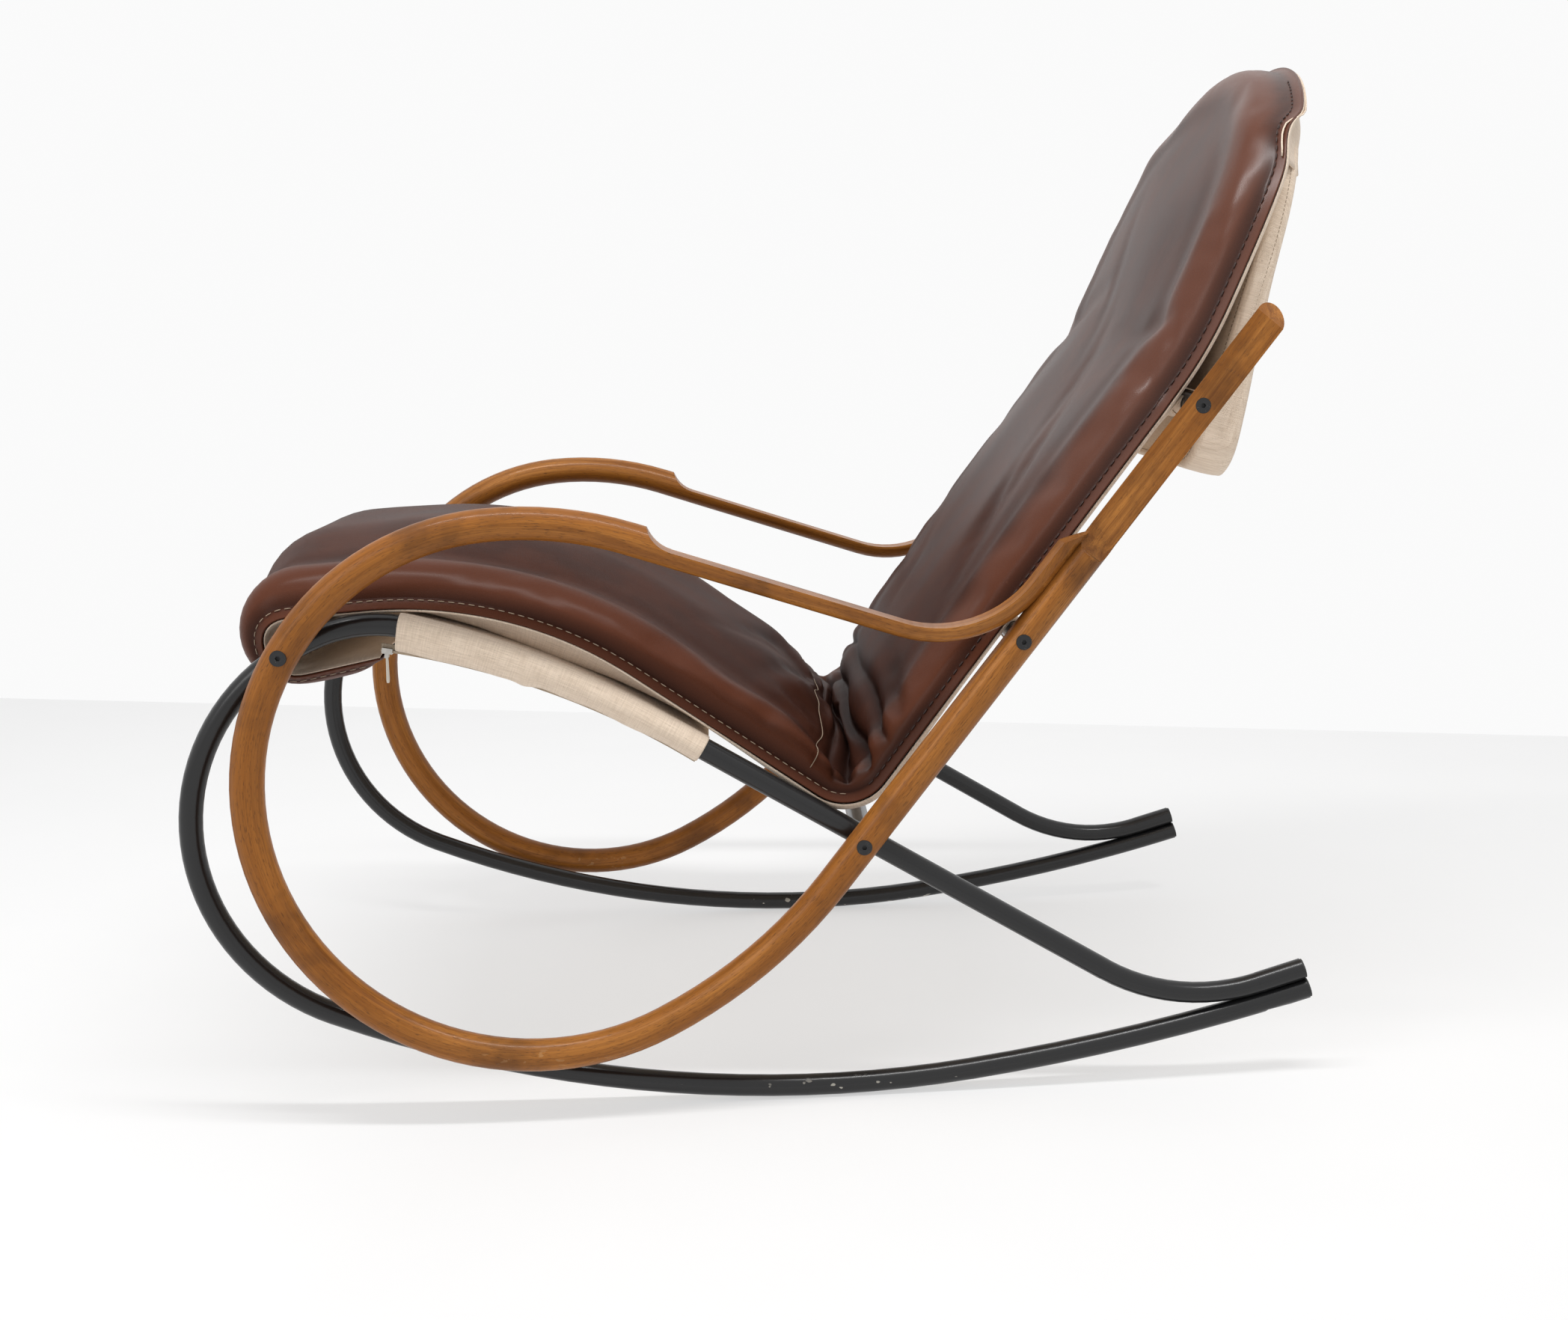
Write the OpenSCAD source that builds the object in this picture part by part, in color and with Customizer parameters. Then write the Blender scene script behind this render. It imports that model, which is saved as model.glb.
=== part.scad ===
// Rocking chair with two continuous bentwood rails on black steel tube runners,
// a linen sling under the seat and a one-piece leather pad.
// X runs from the front (-X) to the back (+X), Y across the chair, Z up.
// The sitter's left side is -Y. The floor is Z = 0.

/* [Overall] */
// Width over the outside of the two wooden rails
overall_w = 650; // [560:1:760]
// Distance of the rear end of the runners behind the middle of the chair
runner_rear_x = 481; // [440:1:520]

/* [Steel runners] */
// Outside diameter of the runner tube
tube_d = 20; // [16:0.5:25]
// Wall of every steel tube
tube_wall = 2; // [1.2:0.1:3]
// Lean of the rear end of the rocker above the floor, in degrees
rocker_rise_a = 16; // [14:0.5:18]
// Radius of the rear stretch of the rocker
rocker_rear_r = 2080; // [1700:10:2400]
// Turn of the rear stretch of the rocker, in degrees
rocker_rear_a = 9; // [6:0.5:12]
// Radius of the middle stretch of the rocker
rocker_r = 1115; // [1000:5:1250]
// Turn of the middle stretch of the rocker, in degrees
rocker_a = 29.8; // [26:0.2:34]
// Radius of the front bend
front_bend_r = 183.5; // [165:0.5:205]
// Turn of the front bend, in degrees
front_bend_a = 136.2; // [130:0.2:142]
// Radius of the bend at the front of the seat
crest_bend_r = 126.5; // [110:0.5:145]
// Turn of the bend at the front of the seat, in degrees
crest_bend_a = 36; // [32:0.2:40]
// Radius of the long bend under the thighs
thigh_bend_r = 780; // [700:5:860]
// Turn of the long bend under the thighs, in degrees
thigh_bend_a = 16.1; // [13:0.1:19]
// Radius of the bend where the tube comes back to the rocker
tail_bend_r = 186; // [160:1:210]
// Length of the plastic plug inside each tube end
plug_l = 18; // [10:1:30]
// Thickness of the plug's flat head
plug_head = 2; // [1:0.2:4]

/* [Bentwood rails] */
// Diameter of the bentwood rod
rail_d = 29; // [25:0.5:34]
// Lean of the uprights from the floor, in degrees
lean_a = 52; // [48:0.5:56]
// Distance of the rear screw behind the middle of the chair
rear_screw_x = 62; // [40:1:85]
// Length of an upright above the rear screw
upright_l = 585; // [520:1:640]
// Length of an upright below the rear screw
upright_tail_l = 44; // [25:1:60]
// Radius of the rail's rear lower bend
rear_bend_r = 446; // [400:1:500]
// Turn of the rail's rear lower bend, in degrees
rear_bend_a = 25.4; // [22:0.2:29]
// Radius of the big bend round the bottom and the front
loop_bend_r = 239.5; // [225:0.5:255]
// Turn of the big bend, in degrees
loop_bend_a = 159.8; // [154:0.2:165]
// Radius of the bend that brings the rail over into the arm
shoulder_bend_r = 222.5; // [205:0.5:240]
// Turn of that bend, in degrees
shoulder_bend_a = 41.1; // [36:0.1:46]
// Radius of the bend at the front of the arm
arm_bend_r = 304.5; // [280:0.5:330]
// Turn of the bend at the front of the arm, in degrees
arm_bend_a = 23.5; // [20:0.1:27]
// Radius of the bend where the arm turns up to the upright
arm_end_bend_r = 104.5; // [85:0.5:125]
// Length of the arm's end that lies along the upright
arm_end_l = 62; // [45:1:85]
// Length of the slanted cut on the arm's end
arm_end_slant = 20; // [6:1:26]
// Depth to which the arm and the upright are each planed where they are glued
arm_seat_cut = 1.5; // [0.5:0.1:3]
// Distance of the arm's milled shoulder behind the arm bend
arm_shoulder_l = 10; // [4:1:30]
// Distance of the upright's milled shoulder above the rear screw
flat_from = 323; // [290:1:360]
// Radius of the cutter that leaves the hollow shoulders
scoop_r = 30; // [20:1:45]

/* [Cross tubes and fasteners] */
// Outside diameter of the cross tubes
cross_d = 20; // [16:0.5:25]
// Distance of the lower back tube above the rear screw
lower_back_up = 230; // [200:1:260]
// Distance of the upper back tube above the rear screw
upper_back_up = 490; // [450:1:520]
// Thickness of the washer between a rail and a runner
washer_t = 2; // [1:0.1:4]
// Diameter of that washer
washer_d = 16; // [13:0.5:20]
// Diameter of the screw's flat head
head_d = 13.6; // [11:0.1:16]
// Thickness of the screw's head
head_t = 2.6; // [1.8:0.1:3.4]
// Width across the flats of the hexagon socket
socket_w = 4; // [3:0.1:5]
// Diameter of the screw's shank
shank_d = 6; // [5:0.1:7]
// Length of the screw under its head
screw_l = 62; // [50:1:80]
// Length of the threaded insert in each cross tube
insert_l = 24; // [16:1:36]
// Diameter of the dowels in the arm joint
dowel_d = 8; // [5:0.5:10]

/* [Linen sleeves and sling] */
// Thickness of the linen
linen_t = 1.6; // [1:0.1:2.4]
// Distance of the sleeve's front edge in front of the middle of the chair
sleeve_front_x = 336; // [315:1:350]
// Distance of the sleeve's rear edge in front of the middle of the chair
sleeve_rear_x = 78; // [60:1:100]
// Radius of the sleeve's curved zip seam
zip_r = 700; // [620:5:800]
// Depth of the zip seam under the tube's axis at the front edge
zip_front_drop = 25; // [21:0.5:32]
// Depth of the zip seam under the tube's axis at the rear edge
zip_rear_drop = 15.5; // [15:0.5:20]
// Distance of the zip from the tube's axis towards the middle of the chair
zip_inset = 11; // [9:0.5:14]
// Sag of the seat sling in its middle
sling_sag = 6; // [3:1:16]
// Width over the back sling at the tubes
back_sling_w = 540; // [460:2:570]
// How far each side of the back sling is drawn in between the tubes
back_sling_draw = 24; // [8:1:50]

/* [Zips] */
// Width of the zip's folded tape
tape_w = 6; // [5:0.5:8]
// Thickness of the tape
tape_t = 0.8; // [0.5:0.1:1.2]
// Width of the row of teeth
teeth_w = 4; // [3:0.2:5]
// Thickness of the row of teeth
teeth_t = 2; // [1.6:0.1:2.6]
// Length of the zip that stands out in front of the sleeve
zip_lead = 14; // [10:1:20]
// Length of the slider
slider_l = 9; // [7:0.5:12]
// Wall of the slider
slider_wall = 1.1; // [0.8:0.1:1.6]
// Length of the pull tab
pull_l = 24; // [18:1:32]
// Width of the pull tab at its widest
pull_w = 7; // [5:0.5:10]
// Thickness of the pull tab
pull_t = 1.6; // [1:0.1:2.4]

/* [Pad] */
// Width over the pad's side seams
pad_w = 572; // [500:2:580]
// Radius of the pad's seam round the front cross tube
nose_r = 33.5; // [28:0.5:42]
// Rise of the pad's front above the middle of that tube
nose_rise = 3; // [0:0.5:8]
// Length of the flap that comes back under the front
flap_l = 68; // [50:1:90]
// Slope of that flap, in degrees
flap_a = 12; // [6:1:18]
// Length of the level stretch behind the front
pad_front_l = 66; // [50:1:80]
// Rise of the level stretch, in degrees
pad_front_a = 4.5; // [2:0.5:7]
// Radius of the pad over the thighs
pad_thigh_r = 353; // [320:1:390]
// Turn of the pad over the thighs, in degrees
pad_thigh_a = 39.4; // [37:0.2:42]
// Length of the straight seat
pad_seat_l = 199; // [180:1:225]
// Radius of the fold between the seat and the back
pad_fold_r = 35; // [28:0.5:45]
// Lean of the lower back, in degrees
pad_back_a = 52.8; // [50:0.2:55]
// Length of the straight lower back
pad_back_l = 434; // [400:1:460]
// Radius of the bend behind the neck
pad_neck_r = 400; // [300:5:500]
// Lean of the head part, in degrees
pad_head_a = 66; // [62:0.2:69]
// Length of the straight head part
pad_head_l = 262; // [220:1:300]
// Radius of the pad's arched top
pad_arch_r = 368; // [300:2:460]
// Rise of the leather above the seam on the seat
pad_crown = 44; // [26:1:54]
// Share of that rise on the back
back_share = 0.8; // [0.5:0.05:1.1]
// Share of that rise on the flap
flap_share = 0.2; // [0.1:0.05:0.5]
// Share of that rise beside the fold
fold_share = 0.55; // [0.3:0.05:0.7]
// Depth of the linen side below the seam on the seat
pad_belly = 16; // [8:0.5:20]
// Depth of the linen side behind the seam on the back
back_depth = 9; // [4:0.5:10]
// Depth of the creases beside the fold
crease_depth = 7; // [2:0.5:10]
// Distance between the creases
crease_pitch = 38; // [28:1:60]
// Distance from the fold to the last crease
crease_reach = 95; // [60:5:140]
// Thickness of the seamed edge
rim_t = 2; // [1:0.1:3]
// Thickness of the linen backing
backing_t = 1.2; // [0.8:0.1:2]
// Height of the pocket that hooks over the head panel
pocket_l = 120; // [90:2:160]
// How far the pad's underside is drawn up over the front edge of the sling
sling_edge_rise = 6; // [4:0.5:8]
// Padding of the pocket at its top
pocket_t = 34; // [20:0.5:40]
// Padding of the pocket at its mouth
pocket_mouth_t = 4; // [3:0.5:8]

/* [Head panel] */
// Width of the head panel
panel_w = 512; // [460:2:520]
// Height of the head panel
panel_h = 372; // [320:2:400]
// Thickness of the head panel
panel_t = 12; // [9:0.5:18]
// Lean of the head panel, in degrees
panel_a = 73; // [70:0.5:76]
// Distance of the panel behind the axis of the upper back tube
panel_back = 26; // [20:0.5:32]
// Length of the panel below the upper back tube
panel_drop = 48; // [36:1:60]
// Radius of the panel's upper corners
panel_top_r = 150; // [110:2:190]
// Radius of the panel's lower corners
panel_low_r = 34; // [20:1:50]
// Radius of the arch at the panel's top
panel_arch_r = 420; // [340:5:600]
// Thickness of the board inside the panel
board_t = 8; // [5:0.5:10]
// Width of each linen loop that hangs the panel on the tube
loop_w = 90; // [50:2:140]
// Distance between the middles of the two loops
loop_gap = 380; // [280:2:430]

/* [Hidden] */

// Segments round a rod or tube
rod_fn = 36;
// Largest gap between a bend and its drawn chords
chord_gap = 0.2;
// How much thinner a bend is drawn than the straight beside it
thinning = 0.16;
// How far each piece of a bent rod laps into the one before it
lap = 0.1;
function bend_fn(r) = ceil(180 / acos(1 - chord_gap / r));
// One overrun serves every cut
over = 1;
// Clearance between cloth or a moving piece and its neighbour
clear = 0.3;
// Gap between two layers that are sewn together
seam_gap = 0.1;

tube_r = tube_d / 2;
rail_r = rail_d / 2;
cross_r = cross_d / 2;
shank_r = shank_d / 2;
// Planes of the rails' and the runners' centre lines
rail_y = overall_w / 2 - rail_r;
runner_y = rail_y - rail_r - washer_t - tube_r;

// A run is a bend schedule: a list of rows of straight length, bend radius and turn.
// A state is a point in the XZ plane and a heading in degrees.
function moved(s, l) = [s[0] + l * cos(s[2]), s[1] + l * sin(s[2]), s[2]];
function beside(s, d) = [s[0] - d * sin(s[2]), s[1] + d * cos(s[2])];
function bent(s, r, t) =
  let (c = beside(s, sign(t) * r), h = s[2] + t)
  [c[0] + sign(t) * r * sin(h), c[1] - sign(t) * r * cos(h), h];
function step(s, row) = row[2] == 0 ? moved(s, row[0]) : bent(moved(s, row[0]), row[1], row[2]);
function walked(run, s, i = 0) = i == len(run) ? s : walked(run, step(s, run[i]), i + 1);
function row_length(row) = row[0] + row[1] * abs(row[2]) * PI / 180;
function run_length(run, i = 0) = i == len(run) ? 0 : row_length(run[i]) + run_length(run, i + 1);
// State at a distance along a run
function run_at(run, s, d, i = 0) =
  let (row = run[i], last = i == len(run) - 1)
  d <= row[0] || (last && row[2] == 0) ? moved(s, d)
  : d <= row_length(row) || last
    ? bent(moved(s, row[0]), row[1], sign(row[2]) * (d - row[0]) / row[1] * 180 / PI)
  : run_at(run, step(s, row), d - row_length(row), i + 1);
// Distance along a run at which it reaches a place along X, by halving
function reach_x(run, s, x, lo, hi, n = 24) =
  let (mid = (lo + hi) / 2)
  n == 0 ? mid
  : run_at(run, s, mid)[0] < x ? reach_x(run, s, x, mid, hi, n - 1)
  : reach_x(run, s, x, lo, mid, n - 1);
function dot(a, b) = a[0] * b[0] + a[1] * b[1];
function along(h) = [cos(h), sin(h)];
function across(h) = [-sin(h), cos(h)];
function point(s) = [s[0], s[1]];

// Runner: from the rear end of the rocker, round the front and back over the seat
rocker_head = 180 + rocker_rise_a;
seat_slope_a = rocker_rear_a + rocker_a + front_bend_a + crest_bend_a + thigh_bend_a - rocker_head;
low_h = rocker_rise_a > rocker_rear_a ? rocker_rise_a - rocker_rear_a : 0;
low_point = bent(
  bent([runner_rear_x, 0, rocker_head], rocker_rear_r, -min(rocker_rear_a, rocker_rise_a)),
  rocker_r, -low_h);
runner_start = [runner_rear_x, tube_r - low_point[1], rocker_head];
rocker_run = [
  [0, rocker_rear_r, -rocker_rear_a],
  [0, rocker_r, -rocker_a],
  [0, front_bend_r, -front_bend_a],
  [0, crest_bend_r, -crest_bend_a],
  [0, thigh_bend_r, -thigh_bend_a]
];
thigh_end = walked(rocker_run, runner_start);
// The tail ends beside the rocker's rear end, so two lengths are solved from that
tail_turn = seat_slope_a + rocker_rise_a;
weld_sink = tube_wall / 5;
tail_target = point(runner_start)
  + (tube_d - weld_sink) * across(rocker_rise_a) - point(thigh_end);
tail_bend_out = bent([0, 0, -seat_slope_a], tail_bend_r, tail_turn);
tail_rest = tail_target - point(tail_bend_out);
diagonal_l = dot(tail_rest, across(rocker_rise_a)) / dot(along(-seat_slope_a), across(rocker_rise_a));
tail_l = dot(tail_rest - diagonal_l * along(-seat_slope_a), along(rocker_rise_a));
runner_run = concat(rocker_run, [[diagonal_l, tail_bend_r, tail_turn], [tail_l, 0, 0]]);
runner_total = run_length(runner_run);

// Rail: down the upright, round the bottom and front, over into the arm and up to the upright
rear_screw = [
  rear_screw_x,
  thigh_end[1] - (rear_screw_x - thigh_end[0]) * tan(seat_slope_a)
];
rail_top = [
  rear_screw[0] + upright_l * cos(lean_a), rear_screw[1] + upright_l * sin(lean_a), 180 + lean_a
];
arm_slope_a = rear_bend_a + loop_bend_a + shoulder_bend_a + arm_bend_a - 180 - lean_a;
rail_front_run = [
  [upright_l + upright_tail_l, rear_bend_r, -rear_bend_a],
  [0, loop_bend_r, -loop_bend_a],
  [0, shoulder_bend_r, -shoulder_bend_a],
  [0, arm_bend_r, -arm_bend_a]
];
arm_start = walked(rail_front_run, rail_top);
arm_end_turn = arm_slope_a + lean_a;
arm_off = rail_d - 2 * arm_seat_cut;
arm_bend_out = bent([0, 0, -arm_slope_a], arm_end_bend_r, arm_end_turn);
arm_need = arm_off - dot(point(arm_start) - rear_screw + point(arm_bend_out), across(lean_a));
arm_l = arm_need / dot(along(-arm_slope_a), across(lean_a));
arm_run = [[arm_l, arm_end_bend_r, arm_end_turn], [arm_end_l, 0, 0]];
arm_tip = walked(arm_run, arm_start);

// Front screw: where the rail's bend crosses the runner's crest or front bend
function cross_of(a, ra, b, rb) =
  let (
    d = norm(b - a), u = (b - a) / d, f = (d * d + ra * ra - rb * rb) / (2 * d),
    g = sqrt(max(0, ra * ra - f * f)))
  a + f * u + g * [-u[1], u[0]];
front_bend_in = walked([rocker_run[0], rocker_run[1]], runner_start);
front_bend_c = beside(front_bend_in, -front_bend_r);
shoulder_in = walked([rail_front_run[0], rail_front_run[1]], rail_top);
shoulder_c = beside(shoulder_in, -shoulder_bend_r);
front_screw = cross_of(front_bend_c, front_bend_r, shoulder_c, shoulder_bend_r);
lower_back = rear_screw + lower_back_up * along(lean_a);
upper_back = rear_screw + upper_back_up * along(lean_a);

// Zip seam: an arc through two places under the tube, and the sleeve's reach along the runner
seat_from = run_length([for (i = [0:2]) rocker_run[i]]);
sleeve_from = reach_x(runner_run, runner_start, -sleeve_front_x, seat_from, runner_total - tail_l);
sleeve_to = reach_x(runner_run, runner_start, -sleeve_rear_x, seat_from, runner_total - tail_l);
zip_a = beside(run_at(runner_run, runner_start, sleeve_from), -zip_front_drop);
zip_b = beside(run_at(runner_run, runner_start, sleeve_to), -zip_rear_drop);
zip_half = norm(zip_b - zip_a) / 2;
zip_u = (zip_b - zip_a) / (2 * zip_half);
zip_c = (zip_a + zip_b) / 2 - sqrt(zip_r * zip_r - zip_half * zip_half) * [-zip_u[1], zip_u[0]];
function angle_to(p) = atan2(p[1] - zip_c[1], p[0] - zip_c[0]);
zip_front_a = angle_to(zip_a);
zip_rear_a = angle_to(zip_b);
zip_lead_a = zip_lead / zip_r * 180 / PI;
zip_y = runner_y - zip_inset;
slider_a = zip_front_a + zip_lead_a * 0.6;

// Pad: from the end of the flap, round the front tube, along the seat, up the back
pad_nose_in = [
  front_screw[0] + nose_r * sin(flap_a), front_screw[1] + nose_rise - nose_r * cos(flap_a),
  180 + flap_a
];
pad_start = moved(pad_nose_in, -flap_l);
pad_seat_a = pad_thigh_a - pad_front_a;
seat_run = [
  [flap_l, nose_r, pad_front_a - 180 - flap_a],
  [pad_front_l, pad_thigh_r, -pad_thigh_a],
  [pad_seat_l, pad_fold_r, (pad_seat_a + pad_back_a) / 2]
];
back_run = [
  [0, pad_fold_r, (pad_seat_a + pad_back_a) / 2],
  [pad_back_l, pad_neck_r, pad_head_a - pad_back_a],
  [pad_head_l, 0, 0]
];
fold_state = walked(seat_run, pad_start);
seat_total = run_length(seat_run);
back_total = run_length(back_run);

// Head panel: its lower edge in the XZ plane
panel_low = upper_back + panel_back * [sin(lean_a), -cos(lean_a)] - panel_drop * along(panel_a);

steel = "#1b1b1c";
beech = "#9a5a26";
linen = "#d9c7b0";
leather = "#4a241c";
brass = "#8f8a7c";

// Sweeps its 2D child along a run. The child's X is the left of the heading, its Y is across.
// Each piece laps into the one before it and differs from it by a hair in $thin.
module swept(run, s) {
  states = [for (i = 0, t = s; i < len(run); t = step(t, run[i]), i = i + 1) t];
  for (i = [0:len(run) - 1]) {
    if (run[i][0] > 0)
      straight_piece(states[i], run[i][0], i == 0 ? 0 : lap, $thin = 0) children();
    if (run[i][2] != 0)
      bent_piece(moved(states[i], run[i][0]), run[i], i == 0 && run[i][0] == 0 ? 0 : lap,
        $thin = (1 + i % 2) * thinning) children();
  }
}

module straight_piece(s, l, early) {
  translate(beside(moved(s, -early), 0)) rotate(s[2]) rotate([90, 0, 90])
    linear_extrude(l + early) children();
}

module bent_piece(s, row, early) {
  side = sign(row[2]);
  early_a = early / row[1] * 180 / PI;
  translate(beside(s, side * row[1]))
    rotate(side > 0 ? s[2] - 90 - early_a : s[2] + 90 + row[2])
      rotate_extrude(angle = abs(row[2]) + early_a, $fn = bend_fn(row[1]))
        translate([row[1], 0]) mirror([side > 0 ? 1 : 0, 0]) children();
}

// Turns a shape drawn in XY, with Z across, into the chair's XZ plane at a place across
module at_side(y) {
  translate([0, y, 0]) rotate([90, 0, 0]) children();
}

// Both sides of the chair, or one of them
module sided(side) {
  if (side > 0) mirror([0, 1, 0]) children();
  else children();
}

// A cylinder across the chair from one place to another
module across_rod(p, d, y1, y2, fn = rod_fn) {
  translate([p[0], y1, p[1]]) rotate([-90, 0, 0]) cylinder(h = y2 - y1, d = d, $fn = fn);
}

module runner_bores() {
  for (p = [front_screw, rear_screw])
    across_rod(p, shank_d + clear, -runner_y - tube_d, -runner_y + tube_d);
}

module tube_ring(d) {
  difference() {
    circle(d = d - $thin, $fn = rod_fn);
    circle(d = d - 2 * tube_wall - $thin, $fn = rod_fn);
  }
}

module runner_tube() {
  difference() {
    at_side(-runner_y) swept(runner_run, runner_start) tube_ring(tube_d);
    runner_bores();
  }
}

module left_runner() {
  color(steel) sided(-1) runner_tube();
}

module right_runner() {
  color(steel) sided(1) runner_tube();
}

// A plug fills a tube's end and closes it with a thin flat head
module end_plug() {
  rotate([0, 90, 0]) {
    cylinder(h = plug_l, d = tube_d - 2 * tube_wall - clear, $fn = rod_fn);
    translate([0, 0, -plug_head]) cylinder(h = plug_head, d = tube_d - tube_wall, $fn = rod_fn);
  }
}

module runner_end_plugs() {
  color(steel)
    for (side = [-1, 1], s = [runner_start, walked(runner_run, runner_start)])
      sided(side) at_side(-runner_y) translate([s[0], s[1]])
        rotate(s == runner_start ? s[2] : s[2] + 180) end_plug();
}

module rod_section() {
  circle(d = rail_d - $thin, $fn = rod_fn);
}

// The rod with its upper half milled away
module arm_section() {
  difference() {
    rod_section();
    translate([-$thin / 2, -rail_d]) square(2 * rail_d);
  }
}

// The rod with its outer half milled away
module upright_section() {
  difference() {
    rod_section();
    translate([-rail_d, 0]) square(2 * rail_d);
  }
}

// Length of the hollow that the cutter leaves between the round rod and the flat
scoop_l = sqrt(scoop_r * scoop_r - pow(scoop_r - rail_r, 2));
flat_start = flat_from + scoop_l;

// The upright's flat top part, bevelled at its end, and the hollow shoulder below it
module upright() {
  foot = [rear_screw[0], rear_screw[1], lean_a];
  at_side(-rail_y) difference() {
    straight_piece(moved(foot, flat_start), upright_l + rail_r - flat_start, lap, $thin = 0)
      upright_section();
    translate(point(rail_top)) rotate(lean_a) rotate([0, -45, 0])
      translate([0, -2 * rail_d, -2 * rail_d]) cube([2 * rail_d, 4 * rail_d, 4 * rail_d]);
  }
  at_side(-rail_y) difference() {
    straight_piece(foot, flat_start, lap, $thin = thinning) rod_section();
    translate(rear_screw) rotate(lean_a) translate([flat_start, 0, scoop_r + thinning])
      rotate([90, 0, 0]) cylinder(h = 2 * rail_d, r = scoop_r, center = true, $fn = 4 * rod_fn);
  }
}

// The arm: round up to its hollow shoulder, then half round to its slanted end
module arm() {
  round_l = arm_shoulder_l + scoop_l;
  flat_in = moved(arm_start, round_l);
  at_side(-rail_y) difference() {
    straight_piece(arm_start, round_l, lap, $thin = thinning) rod_section();
    translate(beside(flat_in, scoop_r + thinning))
      cylinder(h = 2 * rail_d, r = scoop_r, center = true, $fn = 4 * rod_fn);
  }
  at_side(-rail_y) difference() {
    swept([[arm_l - round_l + lap, arm_end_bend_r, arm_end_turn], [arm_end_l, 0, 0]],
      moved(flat_in, -lap)) arm_section();
    translate(beside(arm_tip, -arm_off / 2)) rotate(lean_a - 90 + atan2(arm_end_slant, arm_off / 2))
      translate([-2 * rail_d, 0, -rail_d]) cube([4 * rail_d, 2 * rail_d, 2 * rail_d]);
  }
}

module dowel_holes(extra = 0) {
  for (k = [0.45, 0.85]) {
    p = beside(moved(arm_tip, -arm_end_l * k), -arm_off);
    translate([p[0], -rail_y, p[1]]) rotate([0, -lean_a, 0])
      translate([0, 0, -dowel_d / 2]) cylinder(h = arm_off - extra, d = dowel_d, $fn = rod_fn);
  }
}

module bent_rail() {
  low_run = concat([[upright_tail_l, rear_bend_r, -rear_bend_a]],
    [for (i = [1:len(rail_front_run) - 1]) rail_front_run[i]]);
  difference() {
    union() {
      at_side(-rail_y) swept(low_run, [rear_screw[0], rear_screw[1], 180 + lean_a]) rod_section();
      upright();
      arm();
    }
    for (p = [front_screw, rear_screw, lower_back, upper_back]) {
      across_rod(p, shank_d + clear, -rail_y - rail_d, -rail_y + rail_d);
      across_rod(p, head_d + clear, -overall_w / 2 - over,
        p == upper_back ? -rail_y + head_t : -overall_w / 2 + head_t);
    }
    dowel_holes();
  }
}

module left_bent_rail() {
  color(beech) sided(-1) bent_rail();
}

module right_bent_rail() {
  color(beech) sided(1) bent_rail();
}

// A tube across the chair, its ends cut to sit on the round members drawn as its children
module cross_tube(p, half) {
  difference() {
    across_rod(p, cross_d, -half, half);
    across_rod(p, cross_d - 2 * tube_wall, -half - over, half + over);
    for (side = [-1, 1]) sided(side) at_side(-half) children();
  }
}

module upright_seat() {
  straight_piece([rear_screw[0], rear_screw[1], lean_a], upright_l, 0, $thin = 0)
    rod_section();
}

module front_cross_tube() {
  color(steel) cross_tube(front_screw, runner_y)
    bent_piece(front_bend_in, rocker_run[2], 0) circle(d = tube_d, $fn = 2 * rod_fn);
}

module rear_cross_tube() {
  color(steel) cross_tube(rear_screw, runner_y)
    straight_piece(thigh_end, diagonal_l, 0) circle(d = tube_d, $fn = 2 * rod_fn);
}

module lower_back_tube() {
  color(steel) cross_tube(lower_back, rail_y) upright_seat();
}

module upper_back_tube() {
  color(steel) cross_tube(upper_back, rail_y) upright_seat();
}

insert_gap = 4;
function tube_half(p) = p == rear_screw || p == front_screw ? runner_y - tube_r : rail_y - rail_r;

module threaded_inserts() {
  color(brass)
    for (side = [-1, 1], p = [front_screw, rear_screw, lower_back, upper_back]) sided(side)
      difference() {
        in = -tube_half(p) + insert_gap;
        across_rod(p, cross_d - 2 * tube_wall, in, in + insert_l);
        across_rod(p, shank_d, in - over, in + insert_l + over);
      }
}

// A flat round head with a hexagon socket, on a plain shank
module frame_screw(p) {
  outer = p == upper_back ? -rail_y : -overall_w / 2;
  reach = p == rear_screw || p == front_screw ? screw_l : screw_l - tube_d - washer_t;
  difference() {
    union() {
      across_rod(p, head_d, outer, outer + head_t);
      across_rod(p, shank_d, outer, outer + head_t + reach);
    }
    across_rod(p, socket_w / cos(30), outer - over, outer + head_t, 6);
  }
}

module frame_screws() {
  color(steel)
    for (side = [-1, 1], p = [front_screw, rear_screw, lower_back, upper_back])
      sided(side) frame_screw(p);
}

module rail_washers() {
  color(steel)
    for (side = [-1, 1], p = [front_screw, rear_screw]) sided(side)
      difference() {
        across_rod(p, washer_d, -rail_y + rail_r, -rail_y + rail_r + washer_t);
        across_rod(p, shank_d + clear, -rail_y, -runner_y);
      }
}

module arm_dowels() {
  color(beech) for (side = [-1, 1]) sided(side) dowel_holes(2 * clear);
}

// Closed solid from rings of equal length. Each ring is one closed outline.
function ring_faces(m, n) = [
  for (i = [0:m - 2], j = [0:n - 1], k = [0, 1])
    let (a = i * n + j, b = i * n + (j + 1) % n, c = a + n, d = b + n, near = j < n / 2)
    k == 0 ? [a, b, near ? d : c] : [near ? a : b, d, c]
];
// An end is a strip of triangles between the outline's two sides: point i lies across from sum - i
function end_faces(first, n, sum, back) = [
  for (i = [0:floor(sum / 2) - 1], t = [[i, i + 1, sum - i - 1], [i, sum - i - 1, (sum - i) % n]])
    if (t[1] != t[2] && t[0] != t[2]) [for (k = back ? [2, 1, 0] : [0, 1, 2]) first + t[k]]
];
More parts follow.
